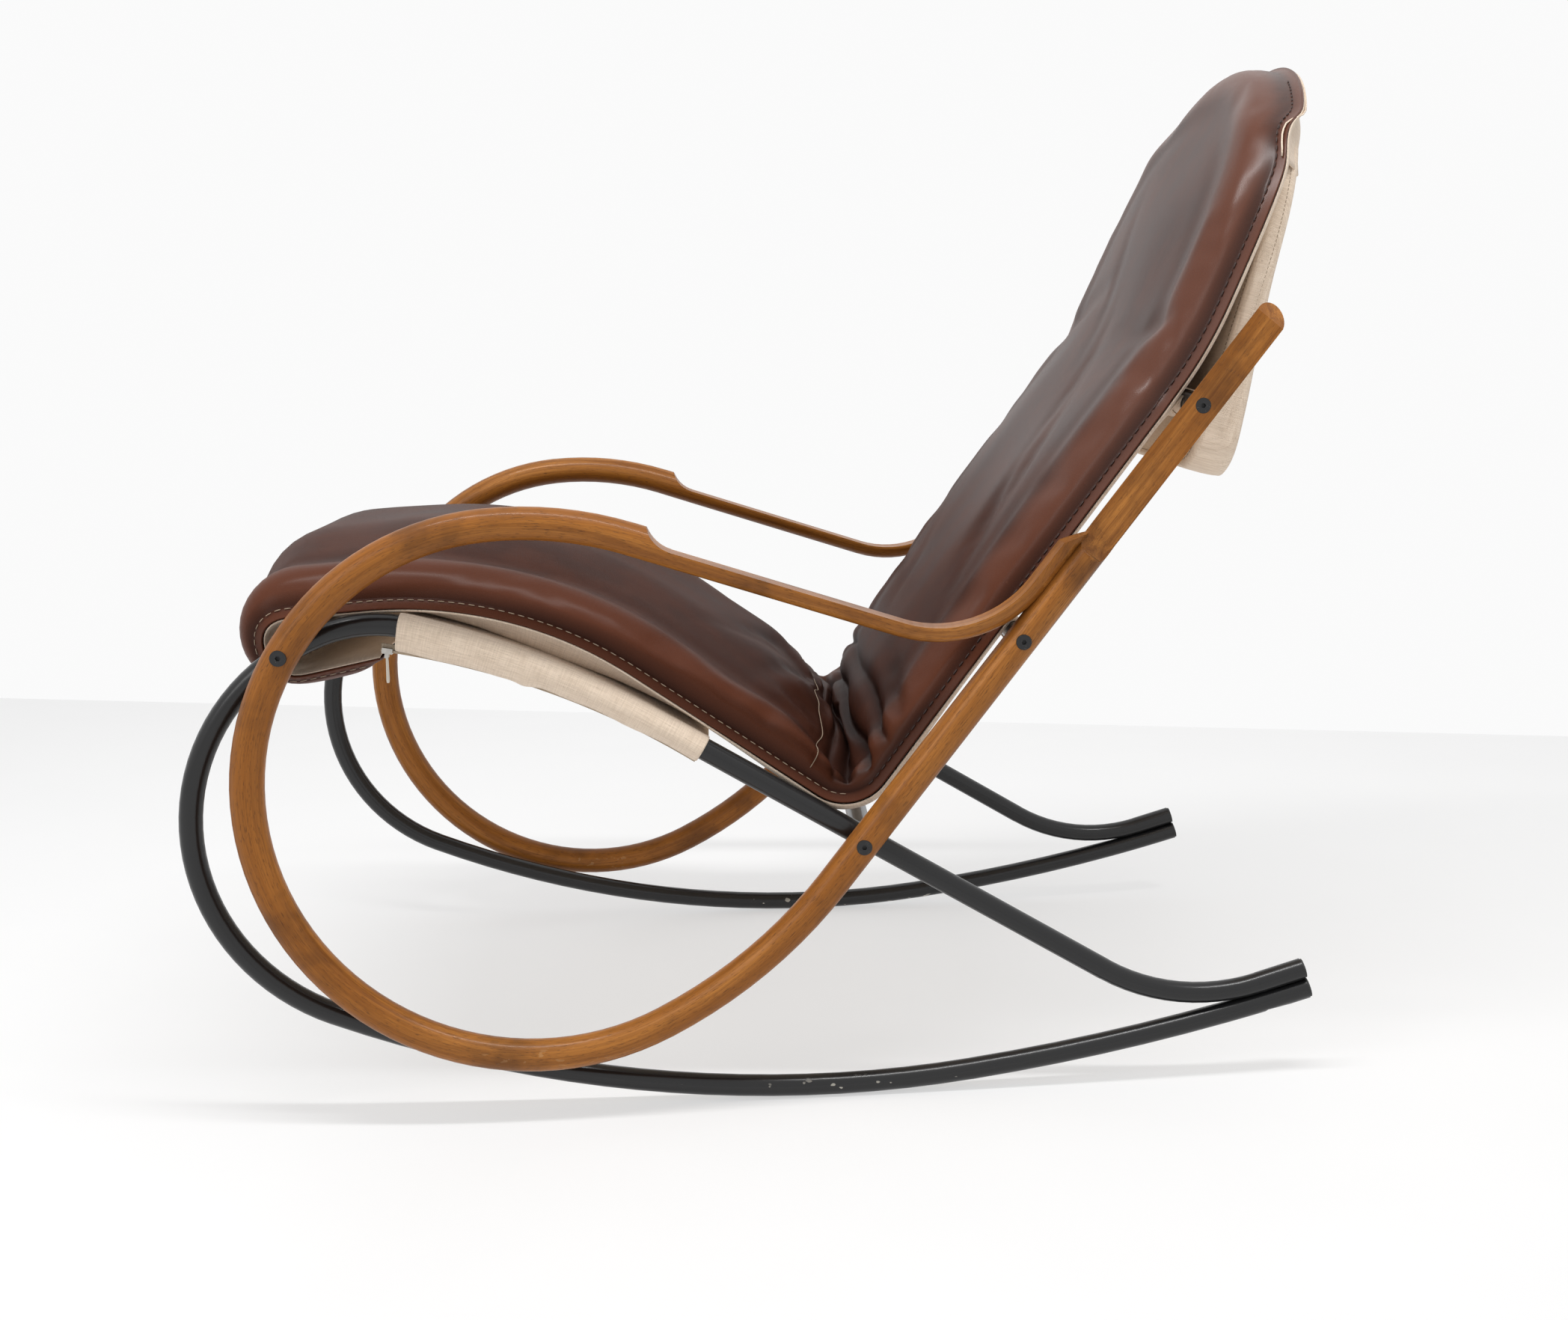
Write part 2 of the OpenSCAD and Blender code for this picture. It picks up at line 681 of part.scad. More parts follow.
// With tips = 1 the outline has a single point at each side, otherwise a pair
module lofted(rings, tips = 0) {
  m = len(rings);
  n = len(rings[0]);
  polyhedron(
    points = [for (r = rings) each r],
    faces = concat(
      end_faces(0, n, n - 1 + tips, true),
      ring_faces(m, n),
      end_faces((m - 1) * n, n, n - 1 + tips, false)),
    convexity = 8);
}

// Depth of the zip seam under a state on the runner's axis
function zip_depth(s) =
  let (q = point(s) - zip_c, b = dot(q, across(s[2])))
  b - sqrt(b * b - (dot(q, q) - zip_r * zip_r));

// The sleeve's section: cloth round the tube, both its lips coming down to the zip's tape
sleeve_arc_steps = 7;
sleeve_side_steps = 4;
sleeve_full = tube_r + zip_inset * 0.3;
function sleeve_path(depth, wall) =
  let (
    r = tube_r + clear + wall, floor_in = max(tube_r + clear, depth - linen_t),
    low = floor_in + wall, bottom = floor_in + linen_t, lip = tape_t + clear / 2 + wall)
  concat(
    [[lip - zip_inset, -bottom + (linen_t - wall) * 0.2]],
    [for (k = [sleeve_side_steps:-1:1]) let (a = 90 * k / sleeve_side_steps)
      [r * cos(a), -low * sin(a)]],
    [for (k = [0:sleeve_arc_steps]) let (a = 180 * k / sleeve_arc_steps)
      [(a < 90 ? r : sleeve_full + wall) * cos(a), r * sin(a)]],
    [[-sleeve_full - wall, -bottom * 0.5], [-zip_inset - lip, -bottom]]);
function sleeve_ring(s) =
  let (
    depth = zip_depth(s) - slider_h / 2 - clear,
    outer = sleeve_path(depth, linen_t), inner = sleeve_path(depth, 0), n = len(inner))
  [for (q = concat(outer, [for (i = [0:n - 1]) inner[n - 1 - i]]))
    let (p = beside(s, q[1])) [p[0], -runner_y - q[0], p[1]]];
sleeve_steps = 12;

module seat_sleeve() {
  lofted([for (i = [0:sleeve_steps])
    sleeve_ring(run_at(runner_run, runner_start,
      sleeve_from + (sleeve_to - sleeve_from) * i / sleeve_steps))]);
}

module left_seat_sleeve() {
  color(linen) sided(-1) seat_sleeve();
}

module right_seat_sleeve() {
  color(linen) sided(1) seat_sleeve();
}

// The seat sling hangs between the sleeves, from the upper part of their inner sides
sling_half = runner_y - tube_r - clear - linen_t;
sling_lift =
  (tube_r + clear + linen_t) * sqrt(1 - pow((runner_y - sling_half) / (sleeve_full + linen_t), 2))
  + linen_t / 2 + clear;
sling_steps = 10;
module seat_sling() {
  color(linen) lofted([for (i = [0:sleeve_steps])
    let (s = run_at(runner_run, runner_start,
      sleeve_from + (sleeve_to - sleeve_from) * i / sleeve_steps))
    [for (k = [0:1], j = [0:sling_steps])
      let (
        v = k == 0 ? 1 - 2 * j / sling_steps : 2 * j / sling_steps - 1,
        p = beside(s, sling_lift + k * linen_t - linen_t / 2 - sling_sag * (1 - v * v)))
      [p[0], sling_half * v, p[1]]]]);
}

// The back sling is stretched between the two back tubes, its sides drawn in
sling_front = cross_r + clear + linen_t;
loop_r = cross_r + clear + linen_t;
back_sling_h = upper_back_up - lower_back_up;
module back_sling() {
  draw_r = (pow(back_sling_h / 2, 2) + pow(back_sling_draw, 2)) / (2 * back_sling_draw);
  inside = linen_t / 8;
  color(linen) {
    difference() {
      translate([lower_back[0], 0, lower_back[1]]) rotate([0, -lean_a, 0])
        translate([0, -back_sling_w / 2, cross_r + clear + inside])
          cube([back_sling_h, back_sling_w, linen_t - 2 * inside]);
      for (side = [-1, 1])
        translate([lower_back[0], 0, lower_back[1]]) rotate([0, -lean_a, 0])
          translate([back_sling_h / 2, side * (back_sling_w / 2 - back_sling_draw + draw_r), 0])
            cylinder(h = 2 * sling_front, r = draw_r, $fn = bend_fn(draw_r));
      loop_notches();
    }
    back_sling_hem(lower_back);
    difference() {
      back_sling_hem(upper_back);
      loop_notches();
    }
  }
}

// Cut-outs in the sling's upper edge, through which the head panel's loops go round the tube
module loop_notches() {
  notch_w = loop_w + 4 * clear;
  notch_d = loop_r + 4 * clear;
  for (side = [-1, 1])
    translate([upper_back[0], side * loop_gap / 2, upper_back[1]]) rotate([0, -lean_a, 0])
      translate([-notch_d, -notch_w / 2, -notch_d]) cube([2 * notch_d, notch_w, 2 * notch_d]);
}

// The hem goes round its tube
module back_sling_hem(p) {
  difference() {
    across_rod(p, 2 * sling_front, -back_sling_w / 2, back_sling_w / 2);
    across_rod(p, 2 * (cross_r + clear), -back_sling_w / 2 - over, back_sling_w / 2 + over);
  }
}

// The closed zip hangs by its folded tape between the sleeve's lips, its teeth as a bead
module zip_chain() {
  translate([zip_c[0], -zip_y, zip_c[1]]) rotate([90, 0, 0])
    rotate(zip_rear_a)
      rotate_extrude(angle = zip_front_a + zip_lead_a - zip_rear_a, $fn = bend_fn(zip_r)) {
        translate([zip_r, -tape_t]) square([tape_w, 2 * tape_t]);
        translate([zip_r - teeth_t / 2, -teeth_w / 2]) square([teeth_t, teeth_w]);
      }
}

module left_zip() {
  color(linen) sided(-1) zip_chain();
}

module right_zip() {
  color(linen) sided(1) zip_chain();
}

slider_w = teeth_w + 2 * clear + 2 * slider_wall;
slider_h = teeth_t + 2 * clear + 2 * slider_wall;
pin_d = 1.6;
pin_drop = slider_h / 2 + pin_d + 2 * clear;
lug_w = 2 * slider_wall;

// Drawn with the zip's centre above the origin: X along the zip, Z outwards from its arc
module at_slider() {
  translate([zip_c[0], -zip_y, zip_c[1]]) rotate([0, -slider_a, 0])
    translate([zip_r, 0, 0]) rotate([0, 90, 0]) children();
}

module zip_slider_body() {
  at_slider() {
    difference() {
      translate([-slider_l / 2, -slider_w / 2, -slider_h / 2])
        cube([slider_l, slider_w, slider_h]);
      translate([-slider_l / 2 - over, -teeth_w / 2 - clear, -teeth_t / 2 - clear])
        cube([slider_l + 2 * over, teeth_w + 2 * clear, teeth_t + 2 * clear]);
      translate([-slider_l / 2 - over, -tape_t - clear, 0])
        cube([slider_l + 2 * over, 2 * (tape_t + clear), slider_h]);
    }
    for (side = [-1, 1])
      translate([0, side * (pull_w / 4 + clear + lug_w / 4), -slider_h / 2]) slider_lug();
    translate([0, 0, -pin_drop]) rotate([90, 0, 0])
      cylinder(h = pull_w / 2 + 2 * clear + lug_w, d = pin_d, center = true, $fn = 24);
  }
}

module slider_lug() {
  translate([-pin_d, -lug_w / 4, -pin_drop + slider_h / 2 - pin_d])
    cube([2 * pin_d, lug_w / 2, pin_drop - slider_h / 2 + pin_d]);
}

module left_zip_slider() {
  color(brass) sided(-1) zip_slider_body();
}

module right_zip_slider() {
  color(brass) sided(1) zip_slider_body();
}

pin_place = [
  zip_c[0] + (zip_r - pin_drop) * cos(slider_a), zip_c[1] + (zip_r - pin_drop) * sin(slider_a)
];

// The tab hangs from the slider's pin and is drop-shaped
module pull_tab() {
  translate([pin_place[0], -zip_y, pin_place[1]]) difference() {
    union() {
      rotate([0, 90, 0]) linear_extrude(pull_t, center = true) {
        translate([pull_l - pull_w / 2, 0]) circle(d = pull_w, $fn = rod_fn);
        polygon([
          [pin_d, -pull_w / 4], [pull_l - pull_w / 2, -pull_w / 2],
          [pull_l - pull_w / 2, pull_w / 2], [pin_d, pull_w / 4]
        ]);
      }
      rotate([90, 0, 0]) cylinder(h = pull_w / 2, d = 2 * pin_d + 2 * clear, center = true, $fn = 32);
    }
    rotate([90, 0, 0])
      cylinder(h = pull_w, d = pin_d + 2 * clear, center = true, $fn = 24);
  }
}

module left_pull_tab() {
  color(linen) sided(-1) pull_tab();
}

module right_pull_tab() {
  color(linen) sided(1) pull_tab();
}

// Three-centred arch over a plate with rounded lower corners, drawn from its lower edge
module panel_outline(inset) {
  half = panel_w / 2 - inset;
  top_r = panel_top_r - inset;
  low_r = panel_low_r - inset;
  side_x = half - top_r;
  drop = sqrt(pow(panel_arch_r - top_r, 2) - side_x * side_x);
  arch_c = panel_h - inset - panel_arch_r;
  touch_x = side_x * panel_arch_r / (panel_arch_r - top_r);
  translate([-half, inset + low_r]) square([2 * half, arch_c + drop - inset - low_r]);
  translate([low_r - half, inset]) square([2 * (half - low_r), 2 * low_r]);
  for (side = [-1, 1]) {
    translate([side * (half - low_r), inset + low_r]) circle(r = low_r, $fn = 2 * rod_fn);
    translate([side * side_x, arch_c + drop]) circle(r = top_r, $fn = 4 * rod_fn);
  }
  intersection() {
    translate([0, arch_c]) circle(r = panel_arch_r, $fn = 8 * rod_fn);
    translate([-touch_x, inset + low_r]) square([2 * touch_x, panel_h]);
  }
}

module at_panel() {
  translate([panel_low[0], 0, panel_low[1]]) rotate([0, 90 - panel_a, 0]) rotate([90, 0, 90])
    children();
}

panel_skin = (panel_t - board_t) / 2;

module head_board() {
  color(beech) at_panel() linear_extrude(board_t, center = true) panel_outline(panel_skin);
}

module head_cover() {
  color(linen) at_panel() difference() {
    linear_extrude(panel_t, center = true) panel_outline(0);
    linear_extrude(board_t, center = true) panel_outline(panel_skin);
  }
}

// Linen loops go round the upper back tube and are sewn to the panel
module head_loops() {
  color(linen) for (side = [-1, 1]) translate([0, side * loop_gap / 2, 0]) head_loop();
}

module head_loop() {
  inner = loop_r - linen_t;
  foot = [upper_back[0], upper_back[1]];
  rotate([90, 0, 0]) linear_extrude(loop_w, center = true) difference() {
    translate(foot) rotate(panel_a) union() {
      circle(r = inner + linen_t, $fn = 2 * rod_fn);
      translate([-inner - linen_t, -panel_loop_off]) square([2 * (inner + linen_t), panel_loop_off]);
    }
    translate(foot) rotate(panel_a) {
      circle(r = inner, $fn = 2 * rod_fn);
      translate([-inner, -panel_loop_off + linen_t])
        square([2 * inner, panel_loop_off - linen_t]);
    }
  }
}

// Distance of the panel's front face behind the tube's axis, square to the panel
panel_loop_off =
  dot(panel_low - upper_back, [sin(panel_a), -cos(panel_a)]) - panel_t / 2;

// Distances along a run at which the pad's rings stand
ring_pitch = 27;
ring_turn = 17;
function ring_places(run, i = 0, d = 0) =
  i == len(run) ? [d]
  : let (
      row = run[i], bend_l = row_length(row) - row[0],
      n1 = ceil(row[0] / ring_pitch),
      n2 = row[2] == 0 ? 0 : ceil(max(abs(row[2]) / ring_turn, bend_l / ring_pitch)))
    concat(
      n1 > 0 ? [for (k = [0:n1 - 1]) d + row[0] * k / n1] : [],
      n2 > 0 ? [for (k = [0:n2 - 1]) d + row[0] + bend_l * k / n2] : [],
      ring_places(run, i + 1, d + row_length(row)));

// Half rounding of an end: nothing at the end itself, all of it from a given length on
function end_round(d, l) = d < l ? sqrt(1 - pow(1 - max(d, 0) / l, 2)) : 1;
function eased(t) = t <= 0 ? 0 : t >= 1 ? 1 : t * t * (3 - 2 * t);

// Columns across the pad stand closer together towards its sides
pad_cols = 14;
function column(j) = sin(90 * (2 * j / pad_cols - 1));
// Across the pad the leather is domed and the linen below is flat with drawn-up sides
function crown_across(v) = pow(max(0, 1 - pow(abs(v), 3.2)), 0.62);
side_from = 0.92;
belly_dome = 0.27;
function belly_across(v) =
  abs(v) < side_from ? 1 - belly_dome * v * v : abs(v) < 0.99 ? 0.05 : 0;

// A ring of a solid between an upper and a lower height across the pad
function pad_ring(s, half, top, bottom) = [
  for (k = [0:2 * pad_cols - 1])
    let (
      v = k < pad_cols ? column(k) : column(2 * pad_cols - k),
      p = beside(s, k < pad_cols ? top(v) : bottom(v)))
    [p[0], half * v, p[1]]
];

// Half width of the pad: narrow inside the runners at its front, arched at its top
pad_half = pad_w / 2;
nose_half = runner_y - tube_r - 3 * linen_t / 2;
nose_free = flap_l + nose_r * 1.5;
function seat_half(d) = nose_half + (pad_half - nose_half) * eased((d - nose_free) / (1.3 * nose_r));
arch_round = 10;
function back_half(t) =
  let (arc = sqrt(max(0.01, 2 * pad_arch_r * t - t * t)))
  t > pad_arch_r ? pad_half
  : pow(pow(pad_half, -arch_round) + pow(arc, -arch_round), -1 / arch_round);
pad_arch_a = asin(pad_half / pad_arch_r);
pad_arch_l = pad_arch_r * (1 - cos(pad_arch_a));

// Creases across the pad beside the fold
function crease(d) =
  d > crease_reach ? 0
  : crease_depth * (1 - d / crease_reach) * (0.5 + 0.5 * cos(360 * d / crease_pitch));
function fold_ease(d) = fold_share + (1 - fold_share) * eased(d / crease_reach);

function seat_crown(d) =
  pad_crown * (flap_share + (1 - flap_share) * eased((d - flap_l) / (3 * nose_r)))
  * end_round(d + 2, 16) * fold_ease(seat_total - d) - crease(seat_total - d);
// The seat's underside reaches down to the sling at one place
rest_d = seat_total * 0.58;
rest_state = run_at(seat_run, pad_start, rest_d);
rest_tube = run_at(runner_run, runner_start,
  reach_x(runner_run, runner_start, rest_state[0], seat_from, runner_total - tail_l));
rest_depth = dot(point(rest_state) - point(rest_tube), across(rest_tube[2]))
  - (sling_lift + linen_t / 2 - sling_sag) - rim_t - seam_gap - backing_t - clear;
function seat_belly(d) =
  (d < flap_l ? pad_belly * 0.5 : pad_belly * (0.5 + 0.5 * eased((d - flap_l) / (2 * nose_r))))
  * end_round(d + 2, 16)
  + max(0, rest_depth - pad_belly) * eased(1 - abs(d - rest_d) / (seat_total * 0.21))
  - sling_edge_rise * eased(1 - abs(d - sling_edge_d) / (2 * nose_r));
// Where the front edge of the sling lies under the pad
sling_edge_d = seat_total * 0.355;

// The pad's back lies against the back tubes, then against the head panel
function panel_gap(d) =
  let (s = run_at(back_run, fold_state, d), q = point(s) - panel_low)
  dot(q, across(panel_a)) / cos(panel_a - s[2]) - panel_t / 2 - clear - backing_t;
function back_belly(d) =
  let (
    fold_part = 1 - eased(d / 60),
    room = d > pad_back_l + 40 ? panel_gap(d) - rim_t / 2 : back_depth)
  fold_part * (pad_belly - back_depth) * 0.9 + min(back_depth, room > 0 ? room : room / (1 - belly_dome));
function back_crown(d) =
  pad_crown * back_share * end_round(back_total - d + 4, 62) * fold_ease(d)
  - crease(d) + max(0, -back_belly(d)) * 0.6;

function back_places() = concat(
  [for (d = ring_places(back_run)) if (d < back_total - pad_arch_l - ring_pitch / 2) d],
  [for (k = [10:-1:1]) back_total - pad_arch_r * (1 - cos(pad_arch_a * k / 10)) - 1],
  [back_total - 0.5]);
fold_gap = clear / 2;

module seat_pad() {
  color(leather) lofted([for (d = ring_places(seat_run))
    let (e = min(d, seat_total - fold_gap))
    pad_ring(run_at(seat_run, pad_start, e), seat_half(d),
      function(v) seat_crown(e) * crown_across(v),
      function(v) -seat_belly(e) * belly_across(v) - (abs(v) < 0.99 ? rim_t : 0))], tips = 1);
}

module back_pad() {
  color(leather) lofted([for (d = back_places())
    let (e = max(d, fold_gap))
    pad_ring(run_at(back_run, fold_state, e), back_half(back_total - d),
      function(v) back_crown(e) * crown_across(v) + rim_t / 2,
      function(v) -back_belly(e) * belly_across(v))], tips = 1);
}

// The linen backing lies under the leather pad
module seat_backing() {
  color(linen) lofted([for (d = ring_places(seat_run))
    let (e = min(d, seat_total - fold_gap))
    pad_ring(run_at(seat_run, pad_start, e), seat_half(d),
      function(v) -seat_belly(e) * belly_across(v) - rim_t - seam_gap,
      function(v) -seat_belly(e) * belly_across(v) - rim_t - seam_gap - backing_t)], tips = 1);
}

module back_backing() {
  color(linen) lofted([for (d = back_places())
    let (e = max(d, fold_gap))
    pad_ring(run_at(back_run, fold_state, e), back_half(back_total - d),
      function(v) -back_belly(e) * belly_across(v) - rim_t / 2,
      function(v) -back_belly(e) * belly_across(v) - rim_t / 2 - backing_t)], tips = 1);
}

// The pocket behind the head panel, its rim sewn to the pad's arch
module head_pocket() {
  behind = panel_t + 4 * clear + 2 * backing_t;
  from = back_total - pocket_l;
  color(linen) lofted([for (d = concat([from], [for (e = back_places()) if (e > from + 8) e]))
    pad_ring(run_at(back_run, fold_state, d), back_half(back_total - d),
      function(v) -backing_t - rim_t - seam_gap
        - pocket_across(v) * end_round(back_total - d, 14) * (behind + panel_gap(d)),
      function(v) -2 * backing_t - rim_t - seam_gap
        - pocket_across(v) * end_round(back_total - d, 14)
          * (behind + panel_gap(d) + pocket_padding(back_total - d)))], tips = 1);
}
// The padding thins out towards the pocket's mouth
function pocket_padding(t) =
  pocket_mouth_t + (pocket_t - pocket_mouth_t) * (1 - eased((t - 14) / (pocket_l - 14)));
function pocket_across(v) = abs(v) < side_from ? 1 - 0.08 * v * v : abs(v) < 0.99 ? 0.04 : 0;

left_runner();
right_runner();
runner_end_plugs();
left_bent_rail();
right_bent_rail();
front_cross_tube();
rear_cross_tube();
lower_back_tube();
upper_back_tube();
threaded_inserts();
frame_screws();
rail_washers();
arm_dowels();
left_seat_sleeve();
right_seat_sleeve();
seat_sling();
back_sling();
left_zip();
right_zip();
left_zip_slider();
right_zip_slider();
left_pull_tab();
right_pull_tab();
head_board();
head_cover();
head_loops();
seat_pad();
back_pad();
seat_backing();
back_backing();
head_pocket();
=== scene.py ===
"""Looks of the bentwood rocking chair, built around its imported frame.

Sizes are in millimetres and angles in degrees until a mesh is made, and materials, lamps and camera are in
metres. X runs from the front to the back, Y across the chair and Z up, with the floor at 0.
"""
import math

import bmesh
import bpy
import numpy as np
from mathutils import Matrix, Vector


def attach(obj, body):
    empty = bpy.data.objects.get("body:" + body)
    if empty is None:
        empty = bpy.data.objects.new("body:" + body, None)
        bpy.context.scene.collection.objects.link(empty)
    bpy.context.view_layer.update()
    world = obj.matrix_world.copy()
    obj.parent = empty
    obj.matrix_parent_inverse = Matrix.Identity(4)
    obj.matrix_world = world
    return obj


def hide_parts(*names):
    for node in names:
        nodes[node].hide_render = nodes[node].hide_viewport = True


MM = 0.001
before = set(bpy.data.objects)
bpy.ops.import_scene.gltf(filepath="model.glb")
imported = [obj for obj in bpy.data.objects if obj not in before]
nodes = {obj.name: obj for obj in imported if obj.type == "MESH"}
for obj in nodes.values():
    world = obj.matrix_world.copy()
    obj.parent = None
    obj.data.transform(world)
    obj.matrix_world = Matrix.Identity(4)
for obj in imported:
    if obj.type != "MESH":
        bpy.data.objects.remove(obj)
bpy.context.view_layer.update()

# Tubes and rods
TUBE_R = 10.0
CROSS_R = 10.0
RAIL_R = 14.5
RAIL_Y = 310.5
ROUND_STEP_AREA = 12.0
GRAIN_SHIFT = 700.0
RUNNER_Y = 284.0
LEAN = 52.0
REAR_SCREW = (62.0, 244.94)
FRONT_SCREW = (-428.19, 424.77)

# Rows of a run: straight length, bend radius and turn
RUNNER_START = (481.0, 83.38, 196.0)
RUNNER_ROWS = [
    (0, 2080, -9),
    (0, 1115, -29.8),
    (0, 183.5, -136.2),
    (0, 126.5, -36),
    (0, 780, -16.1),
    (300, 0, 0),
]
LOWER_TUBE_AT = 230.0
UPPER_TUBE_AT = 490.0
UPRIGHT_L = 585.0
UPRIGHT_TAIL = 44.0
ARM_L = 245.6
RAIL_ROWS = [
    (UPRIGHT_L + UPRIGHT_TAIL, 446, -25.4),
    (0, 239.5, -159.8),
    (0, 222.5, -41.1),
    (0, 304.5, -23.5),
    (ARM_L, 104.5, 89.8),
    (62, 0, 0),
]

# Pad
PAD_HALF = 286.0
NOSE_HALF = 271.6
NOSE_R = 33.5
NOSE_RISE = 3.0
FLAP_L = 68.0
FLAP_A = 12.0
FRONT_A = 4.5
THIGH_A = 39.4
BACK_A = 52.8
HEAD_A = 66.0
ARCH_R = 368.0
ARCH_BLEND = 24.0
SEAT_ROWS = [(FLAP_L, NOSE_R, FRONT_A - 180 - FLAP_A), (66, 353, -THIGH_A), (199, 35, 43.85)]
BACK_ROWS = [(0, 35, 43.85), (434, 400, HEAD_A - BACK_A), (262, 0, 0)]
CROWN = 44.0
BACK_SHARE = 0.8
FLAP_SHARE = 0.2
FOLD_SHARE = 0.55
FOLD_REACH = 95.0
SEAM_BEFORE_FOLD = 43.0
THREAD_CHANGE = 8.0
PANEL_PAST_FOLD = 474.0
ROLL_W = 38.0
VALLEY = 74.0
BELLY = 16.0
BACK_DEPTH = 9.0
LOWEST_AT = 0.58
RAISED_AT = 0.355
FLANGE = 8.5
FLANGE_DROP = 1.0
FLAT_TOP = 66.0
EAR = 13.0
RIM = 2.0
BACKING = 1.2
SKIN_GAP = 0.2

# Head panel
PANEL_W = 512.0
PANEL_H = 372.0
PANEL_T = 12.0
PANEL_A = 73.0
PANEL_BACK = 26.0
PANEL_DROP = 48.0
PANEL_TOP_R = 150.0
PANEL_LOW_R = 34.0
PANEL_ARCH_R = 420.0
COVER_PUFF = 9.0
COVER_LOW_PUFF = 11.0
COVER_LOW_REACH = 230.0
STRAP_HALF = 45.0
STRAP_Y = 190.0
COVER_CENTRE = 0.46
POCKET_L = 120.0
POCKET_TOP = 14.0
POCKET_SLACK = 3.0
POCKET_INSET = 2.5
POCKET_BULGE = 44.0

# Linen
LINEN_T = 1.6
THIN_LINEN_T = LINEN_T * 0.8
POCKET_LINEN_T = 1.4
CLEAR = 0.3
SLING_HALF = 270.0
SLING_DRAW = 24.0
SEAT_SAG = 6.0
SLEEVE_FRONT_X = -336.0
SLEEVE_REAR_X = -78.0
ZIP_C = (-472.229, -267.686)
ZIP_R = 700.0
ZIP_INSET = 11.0
TAPE_T = 0.8
SLIDER_H = 4.8


class Run:
    """A bend schedule walked from a start place and heading.

    On a stretch of curvature k a place at distance s is
    (x + (sin(h + k s) - sin h) / k, z + (cos h - cos(h + k s)) / k), and its heading is h + k s.
    """

    def __init__(self, rows, start):
        x, z, heading = start
        h = math.radians(heading)
        stretches, d = [], 0.0
        for straight, radius, turn in rows:
            bend = radius * math.radians(abs(turn)), math.copysign(1, turn) / max(radius, 1)
            for length, k in ((straight, 0.0), bend):
                if length <= 0:
                    continue
                stretches.append((d, x, z, h, k))
                if k:
                    x += (math.sin(h + k * length) - math.sin(h)) / k
                    z += (math.cos(h) - math.cos(h + k * length)) / k
                else:
                    x += length * math.cos(h)
                    z += length * math.sin(h)
                h += k * length
                d += length
        self.length = d
        self.table = np.array(stretches)

    def at(self, d):
        """Places x and z and the heading in radians at an array of distances."""
        d = np.asarray(d, float)
        which = np.searchsorted(self.table[:, 0], d, side="right") - 1
        row = self.table[np.clip(which, 0, len(self.table) - 1)]
        s = d - row[..., 0]
        x, z, h, k = np.moveaxis(row[..., 1:], -1, 0)
        bend = np.where(k == 0, 1.0, k)
        turned = h + k * s
        px = x + np.where(k == 0, s * np.cos(h), (np.sin(turned) - np.sin(h)) / bend)
        pz = z + np.where(k == 0, s * np.sin(h), (np.cos(h) - np.cos(turned)) / bend)
        return px, pz, turned

    def beside(self, d, off):
        """Places at a distance to the left of the heading."""
        x, z, h = self.at(d)
        return x - off * np.sin(h), z + off * np.cos(h)


def eased(t):
    """Smooth step: 3 t^2 - 2 t^3 between 0 and 1."""
    t = np.clip(t, 0, 1)
    return t * t * (3 - 2 * t)


def soft_min(a, b, k):
    """The smaller of two values, rounded where they meet: -k log(exp(-a/k) + exp(-b/k))."""
    low = np.minimum(a, b)
    return low - k * np.log1p(np.exp(-np.abs(a - b) / k))


def bell(x, width):
    """Gaussian bump of height 1: exp(-(x / width)^2)."""
    return np.exp(-((x / width) ** 2))


def line_lengths(points):
    """Distance along a line of points to each of them."""
    return np.concatenate([[0], np.cumsum(np.linalg.norm(np.diff(points, axis=0), axis=1))])


def waves(x, y, seed, count, low, high):
    """Smooth unevenness: a sum of plane sine waves of seeded directions and wave numbers, about -1 to 1."""
    rng = np.random.default_rng(seed)
    k = rng.uniform(low, high, count)
    a = rng.uniform(0, math.pi, count)
    p = rng.uniform(0, 6.3, count)
    rows = zip(k, np.cos(a), np.sin(a), p)
    return sum(np.sin(n * (x * cos + y * sin) + start) for n, cos, sin, start in rows) / math.sqrt(count * 2)


def beside_run(run, d, y, off):
    """Places at a distance along a run, across the chair at y and to the left of the run."""
    x, z = run.beside(d, off)
    return np.stack(np.broadcast_arrays(x, y, z), -1)


def from_place(place, angle, ahead, left):
    """X and Z at a distance ahead of a place and to its left, for a heading in degrees."""
    cos, sin = math.cos(math.radians(angle)), math.sin(math.radians(angle))
    return place[0] + ahead * cos - left * sin, place[1] + ahead * sin + left * cos


pad_nose = from_place((FRONT_SCREW[0], FRONT_SCREW[1] + NOSE_RISE), FLAP_A, 0, -NOSE_R)
PAD_START = (*from_place(pad_nose, 180 + FLAP_A, -FLAP_L, 0), 180 + FLAP_A)
pad_run = Run(SEAT_ROWS + BACK_ROWS, PAD_START)
SEAT_L = Run(SEAT_ROWS, PAD_START).length
PAD_L = pad_run.length
runner_run = Run(RUNNER_ROWS, RUNNER_START)
UPPER_BACK = from_place(REAR_SCREW, LEAN, UPPER_TUBE_AT, 0)
LOWER_BACK = from_place(REAR_SCREW, LEAN, LOWER_TUBE_AT, 0)
RAIL_TOP = (*from_place(REAR_SCREW, LEAN, UPRIGHT_L, 0), 180 + LEAN)
rail_run = Run(RAIL_ROWS, RAIL_TOP)
PANEL_LOW = from_place(from_place(UPPER_BACK, LEAN, 0, -PANEL_BACK), PANEL_A, -PANEL_DROP, 0)


# Shader maths

